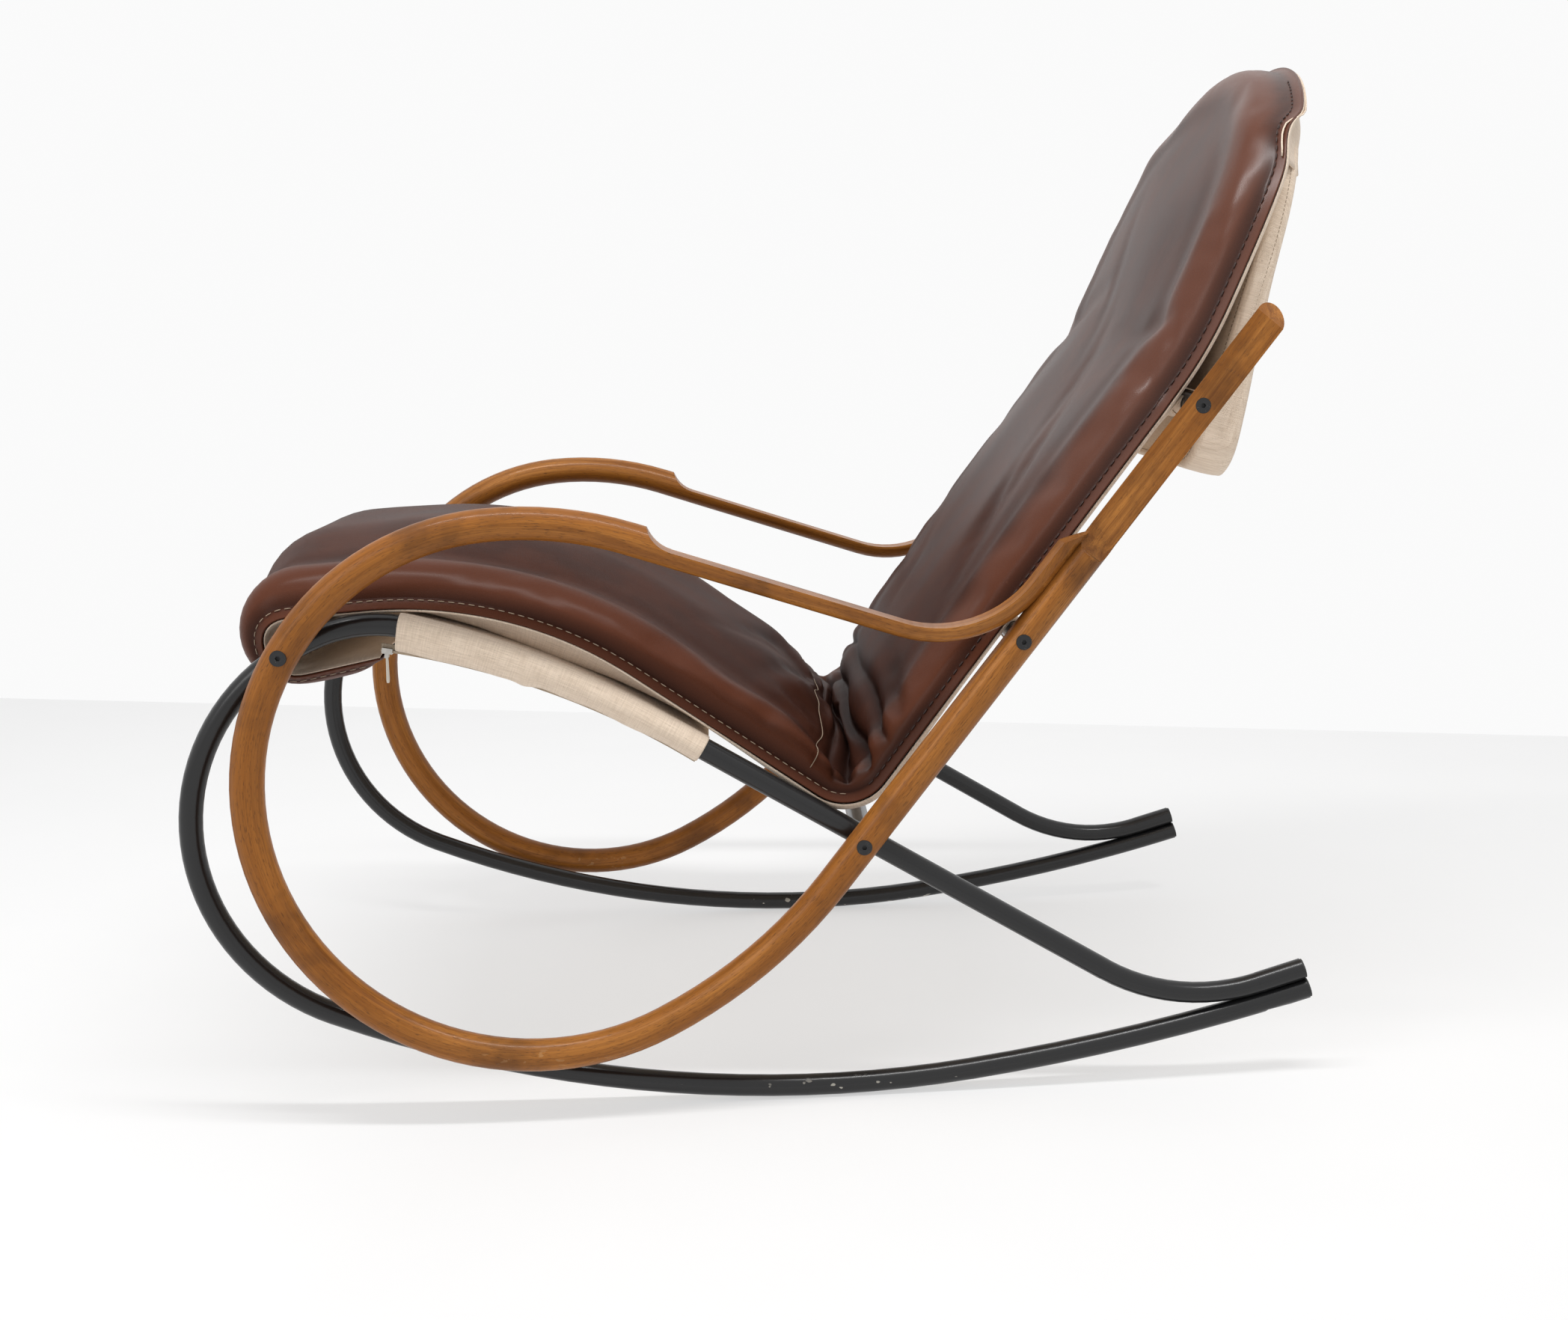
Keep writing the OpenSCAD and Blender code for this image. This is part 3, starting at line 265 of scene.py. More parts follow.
class Wire:
    """An output of a node. Operators on wires add Math nodes."""

    def __init__(self, layout, socket):
        self.layout = layout
        self.socket = socket

    def maths(self, kind, other=None, swapped=False):
        values = [self, other] if other is not None else [self]
        if swapped:
            values.reverse()
        return self.layout.add("ShaderNodeMath", {"operation": kind}, values)

    def __add__(self, other):
        return self.maths("ADD", other)

    __radd__ = __add__

    def __mul__(self, other):
        return self.maths("MULTIPLY", other)

    def __sub__(self, other):
        return self.maths("SUBTRACT", other)

    def __rsub__(self, other):
        return self.maths("SUBTRACT", other, swapped=True)


class Layout:
    """A tree of nodes and the call that adds to it."""

    def __init__(self, tree):
        self.nodes = tree.nodes
        self.links = tree.links
        self.nodes.clear()

    def set_input(self, socket, value):
        if isinstance(value, Wire):
            self.links.new(value.socket, socket)
        elif isinstance(value, tuple) and len(value) == 3 and socket.type == "RGBA":
            socket.default_value = (*value, 1)
        else:
            socket.default_value = value

    def add(self, kind, settings=None, values=(), output=0):
        """Adds a node: its settings first, then its inputs by order or name, and gives one of its outputs."""
        node = self.nodes.new(kind)
        for key, value in (settings or {}).items():
            setattr(node, key, value)
        pairs = values.items() if isinstance(values, dict) else enumerate(values)
        for key, value in pairs:
            self.set_input(node.inputs[key], value)
        return Wire(self, node.outputs[output])


class Finish(Layout):
    """A material and the calls that lay out its nodes."""

    def __init__(self, name):
        self.material = bpy.data.materials.new(name)
        self.material.use_nodes = True
        super().__init__(self.material.node_tree)
        self.output = self.nodes.new("ShaderNodeOutputMaterial")

    def place(self):
        return self.add("ShaderNodeTexCoord", output="Object")

    def own(self, name):
        return self.add("ShaderNodeAttribute", {"attribute_name": name}, output="Vector")

    def scaled(self, vector, by):
        return self.add("ShaderNodeVectorMath", {"operation": "MULTIPLY"}, [vector, by])

    def part(self, vector, axis):
        return self.add("ShaderNodeSeparateXYZ", None, [vector], output=axis)

    def noise(self, vector, scale, detail=2.0, rough=0.5, warp=0.0):
        values = {"Vector": vector, "Scale": scale, "Detail": detail, "Roughness": rough, "Distortion": warp}
        return self.add("ShaderNodeTexNoise", None, values)

    def cells(self, vector, scale):
        """Distance to the nearest edge between cells."""
        settings = {"feature": "DISTANCE_TO_EDGE"}
        return self.add("ShaderNodeTexVoronoi", settings, {"Vector": vector, "Scale": scale})

    def ramp(self, value, low, high, start=0.0, end=1.0):
        """Eased step of a value between two levels."""
        settings = {"interpolation_type": "SMOOTHSTEP"}
        return self.add("ShaderNodeMapRange", settings, [value, low, high, start, end])

    def mix(self, factor, a, b):
        """Colour a where the factor is 0, colour b where it is 1."""
        return self.add("ShaderNodeMix", {"data_type": "RGBA"}, {0: factor, 6: a, 7: b}, output=2)

    def layered(self, base, *layers):
        """A base colour with others laid over it in turn, each by its own factor."""
        for factor, colour in layers:
            base = self.mix(factor, base, colour)
        return base

    def bump(self, height, depth, strength=1.0):
        return self.add("ShaderNodeBump", None, {"Strength": strength, "Distance": depth, "Height": height})

    def surface(self, **values):
        """Ends the material in a Principled shader."""
        inputs = {key.replace("_", " "): value for key, value in values.items()}
        shader = self.add("ShaderNodeBsdfPrincipled", None, inputs)
        self.links.new(shader.socket, self.output.inputs[0])
        return self.material


# Finishes

def black_lacquer():
    """Satin black lacquer with fine unevenness, and small chips under the rocker."""
    f = Finish("black_lacquer")
    place = f.place()
    low = 1 - f.ramp(f.part(place, "Z"), 0.010, 0.021)
    chips = f.ramp(f.noise(f.scaled(place, (0.7, 1, 1.2)), 95.0, 2.0), 0.675, 0.70) * low
    colour = f.mix(chips, (0.009, 0.009, 0.0095), (0.4, 0.38, 0.33))
    dust = f.noise(place, 22.0, 3.0)
    height = f.noise(place, 260.0, 2.0) * 0.25 + (1 - chips)
    return f.surface(
        Base_Color=colour,
        Roughness=0.2 + dust * 0.1 + chips * 0.3,
        Normal=f.bump(height, 0.00012),
        Specular_IOR_Level=0.4,
        Coat_Weight=0.08,
        Coat_Roughness=0.08,
    )


def stained_beech(name, own=True):
    """Beech stained amber: streaks, short pores and rays along the rod before it was bent, chips low down.

    A piece without the straight rod's coordinates takes the grain from its own axes.
    """
    f = Finish(name)
    place = f.place()
    rod = f.own("unbent") if own else place
    streak = f.noise(f.scaled(rod, (5, 130, 130)), 1.0, 5.0, 0.66, 0.6)
    broad = f.noise(f.scaled(rod, (2.2, 22, 22)), 1.0, 2.0, 0.5, 0.8)
    fibre = f.noise(f.scaled(rod, (22, 900, 900)), 1.0, 2.0, 0.6)
    pores = f.ramp(f.noise(f.scaled(rod, (150, 1500, 1500)), 1.0, 1.0), 0.6, 0.72)
    rays = f.ramp(f.noise(f.scaled(rod, (70, 260, 1100)), 1.0, 1.0), 0.63, 0.74)
    stains = f.ramp(f.noise(place, 9.0, 4.0, 0.62), 0.5, 0.68)
    low = 1 - f.ramp(f.part(place, "Z"), 0.028, 0.08)
    outer = f.ramp(f.part(rod, "Z"), -0.006, 0.004, 1.0, 0.25)
    knocks = f.ramp(f.noise(f.scaled(place, (0.5, 1, 1)), 120.0, 3.0, 0.6), 0.63, 0.65) * low * outer
    colour = f.layered(
        (0.165, 0.052, 0.0082),
        (f.ramp(streak, 0.28, 0.68), (0.47, 0.190, 0.040)),
        (f.ramp(broad, 0.36, 0.66) * 0.8, (0.27, 0.092, 0.0125)),
        (f.ramp(fibre, 0.35, 0.7) * 0.35, (0.13, 0.043, 0.009)),
        (stains * 0.6, (0.085, 0.03, 0.0075)),
        (rays * 0.3, (0.13, 0.043, 0.01)),
        (pores * 0.5, (0.05, 0.018, 0.006)),
        (knocks, (0.62, 0.42, 0.22)),
    )
    height = streak * 0.4 - pores * 0.5 - knocks * 0.8
    return f.surface(
        Base_Color=colour,
        Roughness=0.3 + broad * 0.14 + knocks * 0.3,
        Normal=f.bump(height, 0.00016),
        Coat_Weight=0.1,
        Coat_Roughness=0.14,
        Specular_IOR_Level=0.15,
    )


def dark_leather():
    """Aniline leather: pebbled grain, painted shade in the creases and along the seam's groove, a painted
    lighter, redder tone on the rolled sides for the light they catch, and faint rubs.

    A thin coat gives the back and the rolled sides their shine.
    """
    f = Finish("dark_leather")
    place = f.place()
    lay = f.own("lay")
    pebble = f.cells(place, 700.0)
    fine = f.noise(place, 900.0, 2.0)
    creasing = f.noise(f.scaled(place, (1, 1.7, 1)), 60.0, 4.0, 0.62, 0.6)
    mottle = f.noise(place, 13.0, 5.0, 0.62)
    # the rolled sides, which the colour paints lighter and redder as painted light
    roll = f.part(lay, "X")
    # painted shade in the creases and along the seam's groove
    hollow_shade = f.part(lay, "Y")
    rub = f.ramp(f.noise(f.scaled(place, (1, 2.2, 1)), 75.0, 3.0, 0.7), 0.68, 0.78)
    colour = f.layered(
        (0.034, 0.0108, 0.0062),
        (f.ramp(mottle, 0.3, 0.72), (0.060, 0.0192, 0.0105)),
        # painted light: the rolled sides made lighter and redder, standing in for the light they catch
        (roll * 0.85, (0.105, 0.033, 0.0165)),
        # painted shade: darker in the creases and along the seam's groove
        (hollow_shade * 0.8, (0.008, 0.0035, 0.003)),
        (rub * 0.3, (0.15, 0.062, 0.035)),
    )
    height = f.ramp(pebble, 0.0, 0.16) * 0.3 + fine * 0.12 + creasing * 0.7
    back = f.ramp(f.part(place, "Z"), 0.46, 0.62)
    return f.surface(
        Base_Color=colour,
        Roughness=0.42 + mottle * 0.12 + rub * 0.08 - roll * 0.08,
        Normal=f.bump(height, 0.0005, 0.6),
        Specular_IOR_Level=0.04,
        Coat_Weight=back * 0.34 + roll * 0.12,
        Coat_Roughness=0.27,
    )


def natural_linen(name, colour=(0.90, 0.75, 0.60), shade=(0.69, 0.55, 0.42), own=True):
    """Plain weave from its own thread coordinates in metres, with slubs along both thread directions.

    A piece without thread coordinates takes the weave from its own axes.
    """
    f = Finish(name)
    cloth = f.own("threads") if own else f.place()
    wobble = f.noise(f.scaled(cloth, (60, 60, 1)), 1.0, 2.0) * 1.4
    thread_pitch = 0.0011
    turns = 2 * math.pi / thread_pitch
    warp, weft = [(f.part(cloth, axis) * turns + wobble).maths("SINE") for axis in "XY"]
    weave = warp * weft
    slub = f.noise(f.scaled(cloth, (40, 900, 1)), 1.0, 2.0, 0.6)
    cross = f.noise(f.scaled(cloth, (900, 40, 1)), 1.0, 2.0, 0.6)
    fleck = f.ramp(f.noise(f.scaled(cloth, (260, 1100, 1)), 1.0, 1.0), 0.66, 0.74)
    soil = f.noise(f.place(), 9.0, 3.0, 0.6)
    threads = f.ramp(slub * 0.55 + cross * 0.45, 0.34, 0.66)
    toned = f.layered(
        shade,
        (threads, colour),
        (f.ramp(weave, -1.0, 0.6, 0.4, 0.0), shade),
        (fleck * 0.35, (0.25, 0.17, 0.11)),
        (f.ramp(soil, 0.5, 0.8) * 0.3, shade),
    )
    return f.surface(
        Base_Color=toned,
        Roughness=0.9,
        Normal=f.bump(weave * 0.35 + slub + cross, 0.00045, 0.8),
        Sheen_Weight=0.25,
        Sheen_Roughness=0.5,
    )


def two_toned(name, noise, dark, light, rough, depth, metallic=0.0, levels=None):
    """A finish of two tones set by one fine noise, which also sets its roughness and its bump."""
    f = Finish(name)
    pattern = f.noise(f.place(), *noise)
    if levels:
        pattern = f.ramp(pattern, *levels)
    return f.surface(
        Base_Color=f.mix(pattern, dark, light),
        Metallic=metallic,
        Roughness=rough[0] + pattern * rough[1],
        Normal=f.bump(pattern, depth),
    )


def darker(colour, share):
    return tuple(c * share for c in colour)


def thread(name, colour):
    """Waxed sewing thread with a fine twist."""
    return two_toned(name, (1900.0, 1.0), darker(colour, 0.72), colour, (0.62, 0.0), 0.0003)


def moulded(name, colour, gloss):
    """Moulded plastic with a faint pebble."""
    return two_toned(name, (800.0, 2.0), darker(colour, 0.85), colour, (gloss, 0.08), 0.0001)


LACQUER = black_lacquer()
BEECH = stained_beech("stained_beech")
FLAT_BEECH = stained_beech("stained_beech_board", own=False)
LEATHER = dark_leather()
LINEN = natural_linen("natural_linen")
ZIP_TAPE = natural_linen("zip_tape", (0.5, 0.41, 0.31), (0.36, 0.28, 0.2), own=False)
CREAM_THREAD = thread("cream_thread", (0.40, 0.30, 0.21))
BROWN_THREAD = thread("brown_thread", (0.035, 0.014, 0.01))
# Dull nickel plate with a cloudy polish
PLATED = two_toned(
    "plated_steel", (180.0, 3.0), (0.36, 0.34, 0.31), (0.6, 0.58, 0.54), (0.25, 0.2), 0.00008, metallic=1.0
)
# Matt black oxide with rubbed specks
OXIDE = two_toned(
    "black_oxide", (700.0, 2.0), (0.02, 0.02, 0.021), (0.09, 0.085, 0.08), (0.48, -0.1), 0.00006,
    metallic=0.4, levels=(0.62, 0.8)
)
PLUG = moulded("black_plastic", (0.02, 0.02, 0.02), 0.5)
PULL = moulded("cream_plastic", (0.68, 0.62, 0.52), 0.35)


# Making pieces

def grid_faces(rows, cols, closed=False):
    """Quads of a grid of rows by cols points; a closed grid joins its last column to its first."""
    i, j = np.meshgrid(np.arange(rows - 1), np.arange(cols if closed else cols - 1), indexing="ij")
    here, below = i * cols, (i + 1) * cols
    after = (j + 1) % cols
    return np.stack([here + j, here + after, below + after, below + j], -1).reshape(-1, 4)


def linked(name, data):
    """A new object in the scene."""
    made = bpy.data.objects.new(name, data)
    bpy.context.scene.collection.objects.link(made)
    return made


def ridden(name, mesh, material):
    """A smooth piece of the object with one material, riding on the chair's body."""
    mesh.materials.append(material)
    mesh.polygons.foreach_set("use_smooth", np.full(len(mesh.polygons), True))
    mesh.update()
    piece = linked(name, mesh)
    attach(piece, "chair")
    return piece


def new_piece(name, points, faces, material):
    """A piece of the object from points in millimetres."""
    mesh = bpy.data.meshes.new(name)
    faces = faces.tolist() if isinstance(faces, np.ndarray) else faces
    mesh.from_pydata((np.asarray(points).reshape(-1, 3) * MM).tolist(), [], faces)
    return ridden(name, mesh, material)


def point_values(piece, name, values):
    """Stores a vector for each vertex under a name that materials read."""
    layer = piece.data.attributes.new(name, "FLOAT_VECTOR", "POINT")
    layer.data.foreach_set("vector", np.asarray(values, np.float32).reshape(-1))


def linen_piece(name, points, faces, along, across):
    """A piece of linen with the thread coordinates that its weave reads, in metres."""
    piece = new_piece(name, points, faces, LINEN)
    along, across = np.broadcast_arrays(along, across)
    point_values(piece, "threads", np.stack([along, across, 0 * across], -1) * MM)
    return piece


def thicken(piece, thickness, offset=0, steps=("SOLIDIFY",)):
    """Gives a sheet its wall in millimetres, subdivided once where steps says so, as its own mesh."""
    for kind in steps:
        step = piece.modifiers.new(kind.lower(), kind)
        if kind == "SUBSURF":
            step.levels = step.render_levels = 1
        else:
            step.thickness = thickness * MM
            step.offset = offset
    bpy.context.view_layer.update()
    graph = bpy.context.evaluated_depsgraph_get()
    done = piece.evaluated_get(graph)
    mesh = bpy.data.meshes.new_from_object(done, preserve_all_data_layers=True, depsgraph=graph)
    piece.modifiers.clear()
    old, piece.data = piece.data, mesh
    mesh.name = old.name
    bpy.data.meshes.remove(old)


def read(items, name, width=1, kind=float):
    """A property of a mesh's items as an array with one row for each item."""
    values = np.empty(len(items) * width, kind)
    items.foreach_get(name, values)
    return values.reshape(-1, width)


# Bentwood rails

def unbent(points, side):
    """Each point's place in the rod before it was bent: along it, then across and up from its centre.

    The nearest of the run's sampled places gives the distance, and the rest is the offset on its normal.
    """
    samples = np.arange(0, rail_run.length, 2.0)
    x, z, h = rail_run.at(samples)
    result = np.empty_like(points)
    for first in range(0, len(points), 2000):
        p = points[first:first + 2000]
        gap = (p[:, None, 0] - x) ** 2 + (p[:, None, 2] - z) ** 2
        k = gap.argmin(1)
        dx, dz = p[:, 0] - x[k], p[:, 2] - z[k]
        ahead = dx * np.cos(h[k]) + dz * np.sin(h[k])
        left = dz * np.cos(h[k]) - dx * np.sin(h[k])
        result[first:first + 2000] = np.stack([samples[k] + ahead, p[:, 1] - side * RAIL_Y, left], 1)
    return result


def round_normals(mesh, rod):
    """Normals of a bent round rod: those of the exact rod on its round skin, each face's own elsewhere.

    A corner lies on the skin when its distance from the rod's centre is the rod's radius to 0.3 mm and its
    face looks outwards, or looks along the rod from one of the fine steps where two bends meet.
    """
    vertex = read(mesh.loops, "vertex_index", kind=int)[:, 0]
    size = read(mesh.polygons, "loop_total", kind=int)[:, 0]
    face = np.repeat(read(mesh.polygons, "normal", 3), size, 0)
    small = np.repeat(read(mesh.polygons, "area")[:, 0], size) < ROUND_STEP_AREA * MM * MM
    heading = rail_run.at(rod[:, 0])[2]
    outward = np.stack([-np.sin(heading) * rod[:, 2], rod[:, 1], np.cos(heading) * rod[:, 2]], 1)
    reach = np.linalg.norm(outward, axis=1)
    outward = (outward / np.maximum(reach, 1e-6)[:, None])[vertex]
    facing = (face * outward).sum(1)
    skin = (np.abs(reach - RAIL_R) < 0.3)[vertex] & ((facing > 0.93) | (small & (np.abs(facing) < 0.5)))
    mesh.normals_split_custom_set(np.where(skin[:, None], outward, face).tolist())


def rail(node, side):
    """The rail's own shape, with its places in the straight rod stored for the grain.

    The right rail's grain is taken from further along, so that the two rails differ.
    """
    source = nodes[node].data
    work = bmesh.new()
    work.from_mesh(source)
    bmesh.ops.remove_doubles(work, verts=work.verts, dist=0.00001)
    mesh = bpy.data.meshes.new(node + "_wood")
    work.to_mesh(mesh)
    work.free()
    mesh.materials.clear()
    piece = ridden(node + "_wood", mesh, BEECH)
    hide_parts(node)
    rod = unbent(read(mesh.vertices, "co", 3) / MM, side)
    round_normals(mesh, rod)
    shift = GRAIN_SHIFT if side > 0 else 0.0
    point_values(piece, "unbent", (rod + [shift, 0, 0]) * MM)


rail("left_bent_rail", -1)
rail("right_bent_rail", 1)


# Pad

def pad_half_width(d):
    """Half width of the pad: narrow inside the runners at the front, arched at the top.

    The arch is a circle blended with the straight sides: (side^-10 + arc^-10)^(-1/10).
    """
    t = np.maximum(PAD_L - d, 0)
    arc = np.sqrt(np.maximum(2 * ARCH_R * t - t * t, 0.01))
    arched = (PAD_HALF ** -10.0 + arc ** -10.0) ** -0.1
    free = eased((d - FLAP_L - NOSE_R * 1.5) / (1.3 * NOSE_R))
    front = NOSE_HALF + (PAD_HALF - NOSE_HALF) * free
    return np.where(t > ARCH_R, front, arched)


def edge_distance(d, y):
    """Distance from the pad's outline to a place on it, rounded where side and arch or flap meet."""
    t = PAD_L - d
    side = pad_half_width(np.minimum(d, PAD_L - ARCH_R)) - np.abs(y)
    arc = ARCH_R - np.sqrt(np.maximum(ARCH_R - t, 0) ** 2 + y * y)
    near = np.where(t < ARCH_R, soft_min(side, arc, ARCH_BLEND), side)
    near = np.where(d < 120, soft_min(near, d, 4.0), near)
    return np.maximum(near - near[:, :1] * np.exp(-np.maximum(near, 0) / 30), 0)


def crown_along(d):
    """Height of the pad's middle above its seam: lower on the flap, on the back and at the fold."""
    share = 1 - (1 - BACK_SHARE) * eased((d - SEAT_L + 60) / 120)
    front = FLAP_SHARE + (1 - FLAP_SHARE) * eased((d - FLAP_L) / (3 * NOSE_R))
    fold = FOLD_SHARE + (1 - FOLD_SHARE) * eased(np.abs(d - SEAT_L) / FOLD_REACH)
    return CROWN * share * front * fold


def crown_across(d, e):
    """Share of the crown at a distance inside the outline: a rolled side, a shallow valley, then the middle.

    The roll is a quarter ellipse 38 mm wide that reaches 0.6 of the crown on the seat and 0.8 on the back.
    The middle eases up the rest.
    """
    high = 0.6 + 0.2 * eased((d - SEAT_L - 90) / 160)
    roll = np.sqrt(1 - (1 - np.clip((e - FLANGE - 1.5) / ROLL_W, 0, 1)) ** 2)
    return high * roll + (1 - high) * eased((e - 58) / 150) - 0.06 * bell(e - VALLEY, 17)


def crease(d, y, at_side, at_middle, depth, width, bow, reach):
    """A crease across the pad: a cusped trough exp(-(x^2 + 1)^0.5 / width) whose line bows to the middle."""
    v = np.clip(np.abs(y) / pad_half_width(d), 0, 1)
    side, middle = SEAT_L + at_side, SEAT_L + at_middle
    line = middle + (side - middle) * v ** bow + 4 * np.sin(y / 43 + middle)
    spread = width * (1.5 - 0.75 * v)
    fade = eased((1 - v) * 22) * (reach + (1 - reach) * eased(v * 1.6))
    return depth * fade * np.exp(-np.sqrt((d - line) ** 2 + 1) / spread)


def short_crease(d, y, past_fold, across, slope, length, depth, width):
    """A crease of limited length, centred at a place and turned by a slope."""
    along = (y - across) + slope * (d - SEAT_L - past_fold)
    off = (d - SEAT_L - past_fold) - slope * (y - across)
    size = math.sqrt(1 + slope * slope)
    return depth * bell(along / size, length) * np.exp(-np.sqrt((off / size) ** 2 + 2) / width)


# Creases across the pad: place past the fold at the side and at the middle, depth, width, bow and reach
FOLD_CREASES = [
    (1, 2, 17, 6.5, 2.0, 1.0),
    (26, 36, 16, 6, 1.6, 1.0),
    (61, 78, 12, 6.5, 1.4, 0.7),
    (88, 122, 7, 8, 1.2, 0.4),
    (-21, -18, 8, 6, 2.0, 0.8),
]
# Short creases and tucks: place past the fold and across, slope, length, depth and width
SEAT_CREASES = [
    (-84, -60, 0.35, 95, 9, 9),
    (-118, 20, 0.55, 80, 7, 10),
    (-150, -70, 0.7, 60, 5, 9),
    (-66, 150, -0.4, 70, 9, 8),
]
BACK_TUCKS = [
    (250, -150, 1.5, 60, 8, 9),
    (276, -120, 2.4, 45, 7, 8),
    (345, -130, 2.2, 90, 7, 13),
    (430, -60, 3.0, 80, 5, 12),
    (560, 40, 2.0, 90, 4, 12),
    (180, 60, 0.8, 80, 4, 12),
]


def pad_creases(d, y):
    """Troughs beside the fold, pinched together at the sides and fanning out to the middle."""
    across = sum(crease(d, y, *row) for row in FOLD_CREASES)
    return sum((short_crease(d, y, *row) for row in SEAT_CREASES), across)


def pad_dents(d, y):
    """Broad shallow dents of a used pad, and lengthwise tucks on the back."""
    back = eased((d - SEAT_L - 70) / 120)
    seat = eased((SEAT_L - 120 - d) / 80) * eased((d - 200) / 60)
    dents = 2.8 * waves(d, y, seed=7, count=6, low=0.012, high=0.03) * (back + 0.6 * seat)
    return dents - sum(short_crease(d, y, *row) for row in BACK_TUCKS) * back


def cross_seam(y):
    """Where the seam between the pad's two leather panels runs, close before the fold."""
    return SEAT_L - SEAM_BEFORE_FOLD + 4 * np.sin(y / 36) + 2 * np.sin(y / 15)


def flange_turn(d):
    """How far the stitched flange is folded down: not round the arch's top, fully along the back's sides."""
    return eased((PAD_L - d - FLAT_TOP) / 34) * (0.55 + 0.45 * eased((d - FLAP_L) / 60))


def pinched(d, e):
    """The outline is drawn forward where the pocket's mouth meets it, and turned back above it."""
    t = PAD_L - d
    ear = EAR * (1 - eased((t - FLAT_TOP) / 24)) * (1 - eased((e - 1) / 13))
    return 7 * bell(t - 100, 19) * bell(e, 40) - ear


def drawn_in(d, y, e):
    """The folded flange stands less far out."""
    return y * (1 - 0.3 * flange_turn(d) * np.maximum(FLANGE - e, 0) / PAD_HALF)


def leather_height(d, y, e):
    """Height of the leather above the seam line: crown, stitched groove, creases, dents and folded flange."""
    height = crown_along(d) * crown_across(d, e)
    height = height - pad_creases(d, y) * eased((e - FLANGE - 2) / 22)
    height = height + pad_dents(d, y) * eased((e - FLANGE) / 60)
    off = d - cross_seam(y)
    seam = 1.6 * bell(off, 2.4) + 0.8 * np.tanh(off / 3) * bell(off, 26)
    groove = 1.2 * bell(e - FLANGE - 0.8, 1.6)
    flange = FLANGE_DROP * flange_turn(d) * np.maximum(FLANGE - e, 0)
    return height - seam * eased((e - FLANGE) / 12) - groove - flange + pinched(d, e) + RIM / 2


def belly_along(d):
    """Depth of the linen side below the seam: full under the seat, thin behind the back."""
    front = np.where(d < FLAP_L, 0.5, 0.5 + 0.5 * eased((d - FLAP_L) / (2 * NOSE_R)))
    low = 15.9 * eased(1 - np.abs(d - SEAT_L * LOWEST_AT) / (SEAT_L * 0.21))
    raised = 6.0 * eased(1 - np.abs(d - SEAT_L * RAISED_AT) / (2 * NOSE_R))
    seat = BELLY * front + low - raised
    b = d - SEAT_L
    room = np.minimum(BACK_DEPTH, np.maximum(panel_room(d), -40))
    back = (BELLY - BACK_DEPTH) * 0.9 * (1 - eased(b / 60)) + room
    return np.where(b < 0, seat, back)


def panel_room(d):
    """Room for the linen side between the pad's seam line and the head panel's front face."""
    x, z, h = pad_run.at(d)
    a = math.radians(PANEL_A)
    off = (x - PANEL_LOW[0]) * -math.sin(a) + (z - PANEL_LOW[1]) * math.cos(a)
    gap = off / np.cos(a - h) - PANEL_T / 2 - CLEAR - BACKING - RIM
    return np.where(d > SEAT_L + PANEL_PAST_FOLD, gap, BACK_DEPTH)


# Distances inside the pad's outline at which its grid has lines
PAD_EDGE = np.array([0, 1.5, 5.0, 7.8, 8.8, 10.0, 11.8, 15, 20, 27, 36, 46])
PAD_PITCH = 11.0


def pad_grid():
    """Distances along and places across the pad, closer together beside its seam and its fold."""
    middle = np.arange(37, PAD_L - 52, PAD_PITCH)
    fold = np.arange(SEAT_L - 56, SEAT_L + 78, 3.6)
    middle = middle[(middle < SEAT_L - 60) | (middle > SEAT_L + 81)]
    top = PAD_L - np.array([46.0, 37, 29, 22, 16.5, 12, 9, 6.5, 4.4, 2.8, 1.5, 0.6, 0.12])
    d = np.unique(np.concatenate([PAD_EDGE[:10], middle, fold, top]))
    inner = np.linspace(0, 1 - 58 / PAD_HALF, 20)
    v = np.concatenate([inner, 1 - PAD_EDGE[::-1] / PAD_HALF])
    v = np.concatenate([-v[:0:-1], v])
    return np.meshgrid(d, v, indexing="ij")


pad_d, pad_v = pad_grid()
pad_y = pad_v * pad_half_width(pad_d)
pad_e = edge_distance(pad_d, pad_y)


SWELL_FRAMES = 20
SWELL_CAP = 5.0
LEATHER_STIFFNESS = 18.0
CLOTH_SETTINGS = {
    "quality": 5,
    "mass": 0.4,
    "tension_stiffness": LEATHER_STIFFNESS,
    "compression_stiffness": LEATHER_STIFFNESS,
    "shear_stiffness": LEATHER_STIFFNESS * 0.6,
    "bending_stiffness": 2.5,
    "air_damping": 2.0,
    "use_pressure": True,
    "uniform_pressure_force": 0.6,
    "shrink_min": -0.012,
    "vertex_group_mass": "held",
}


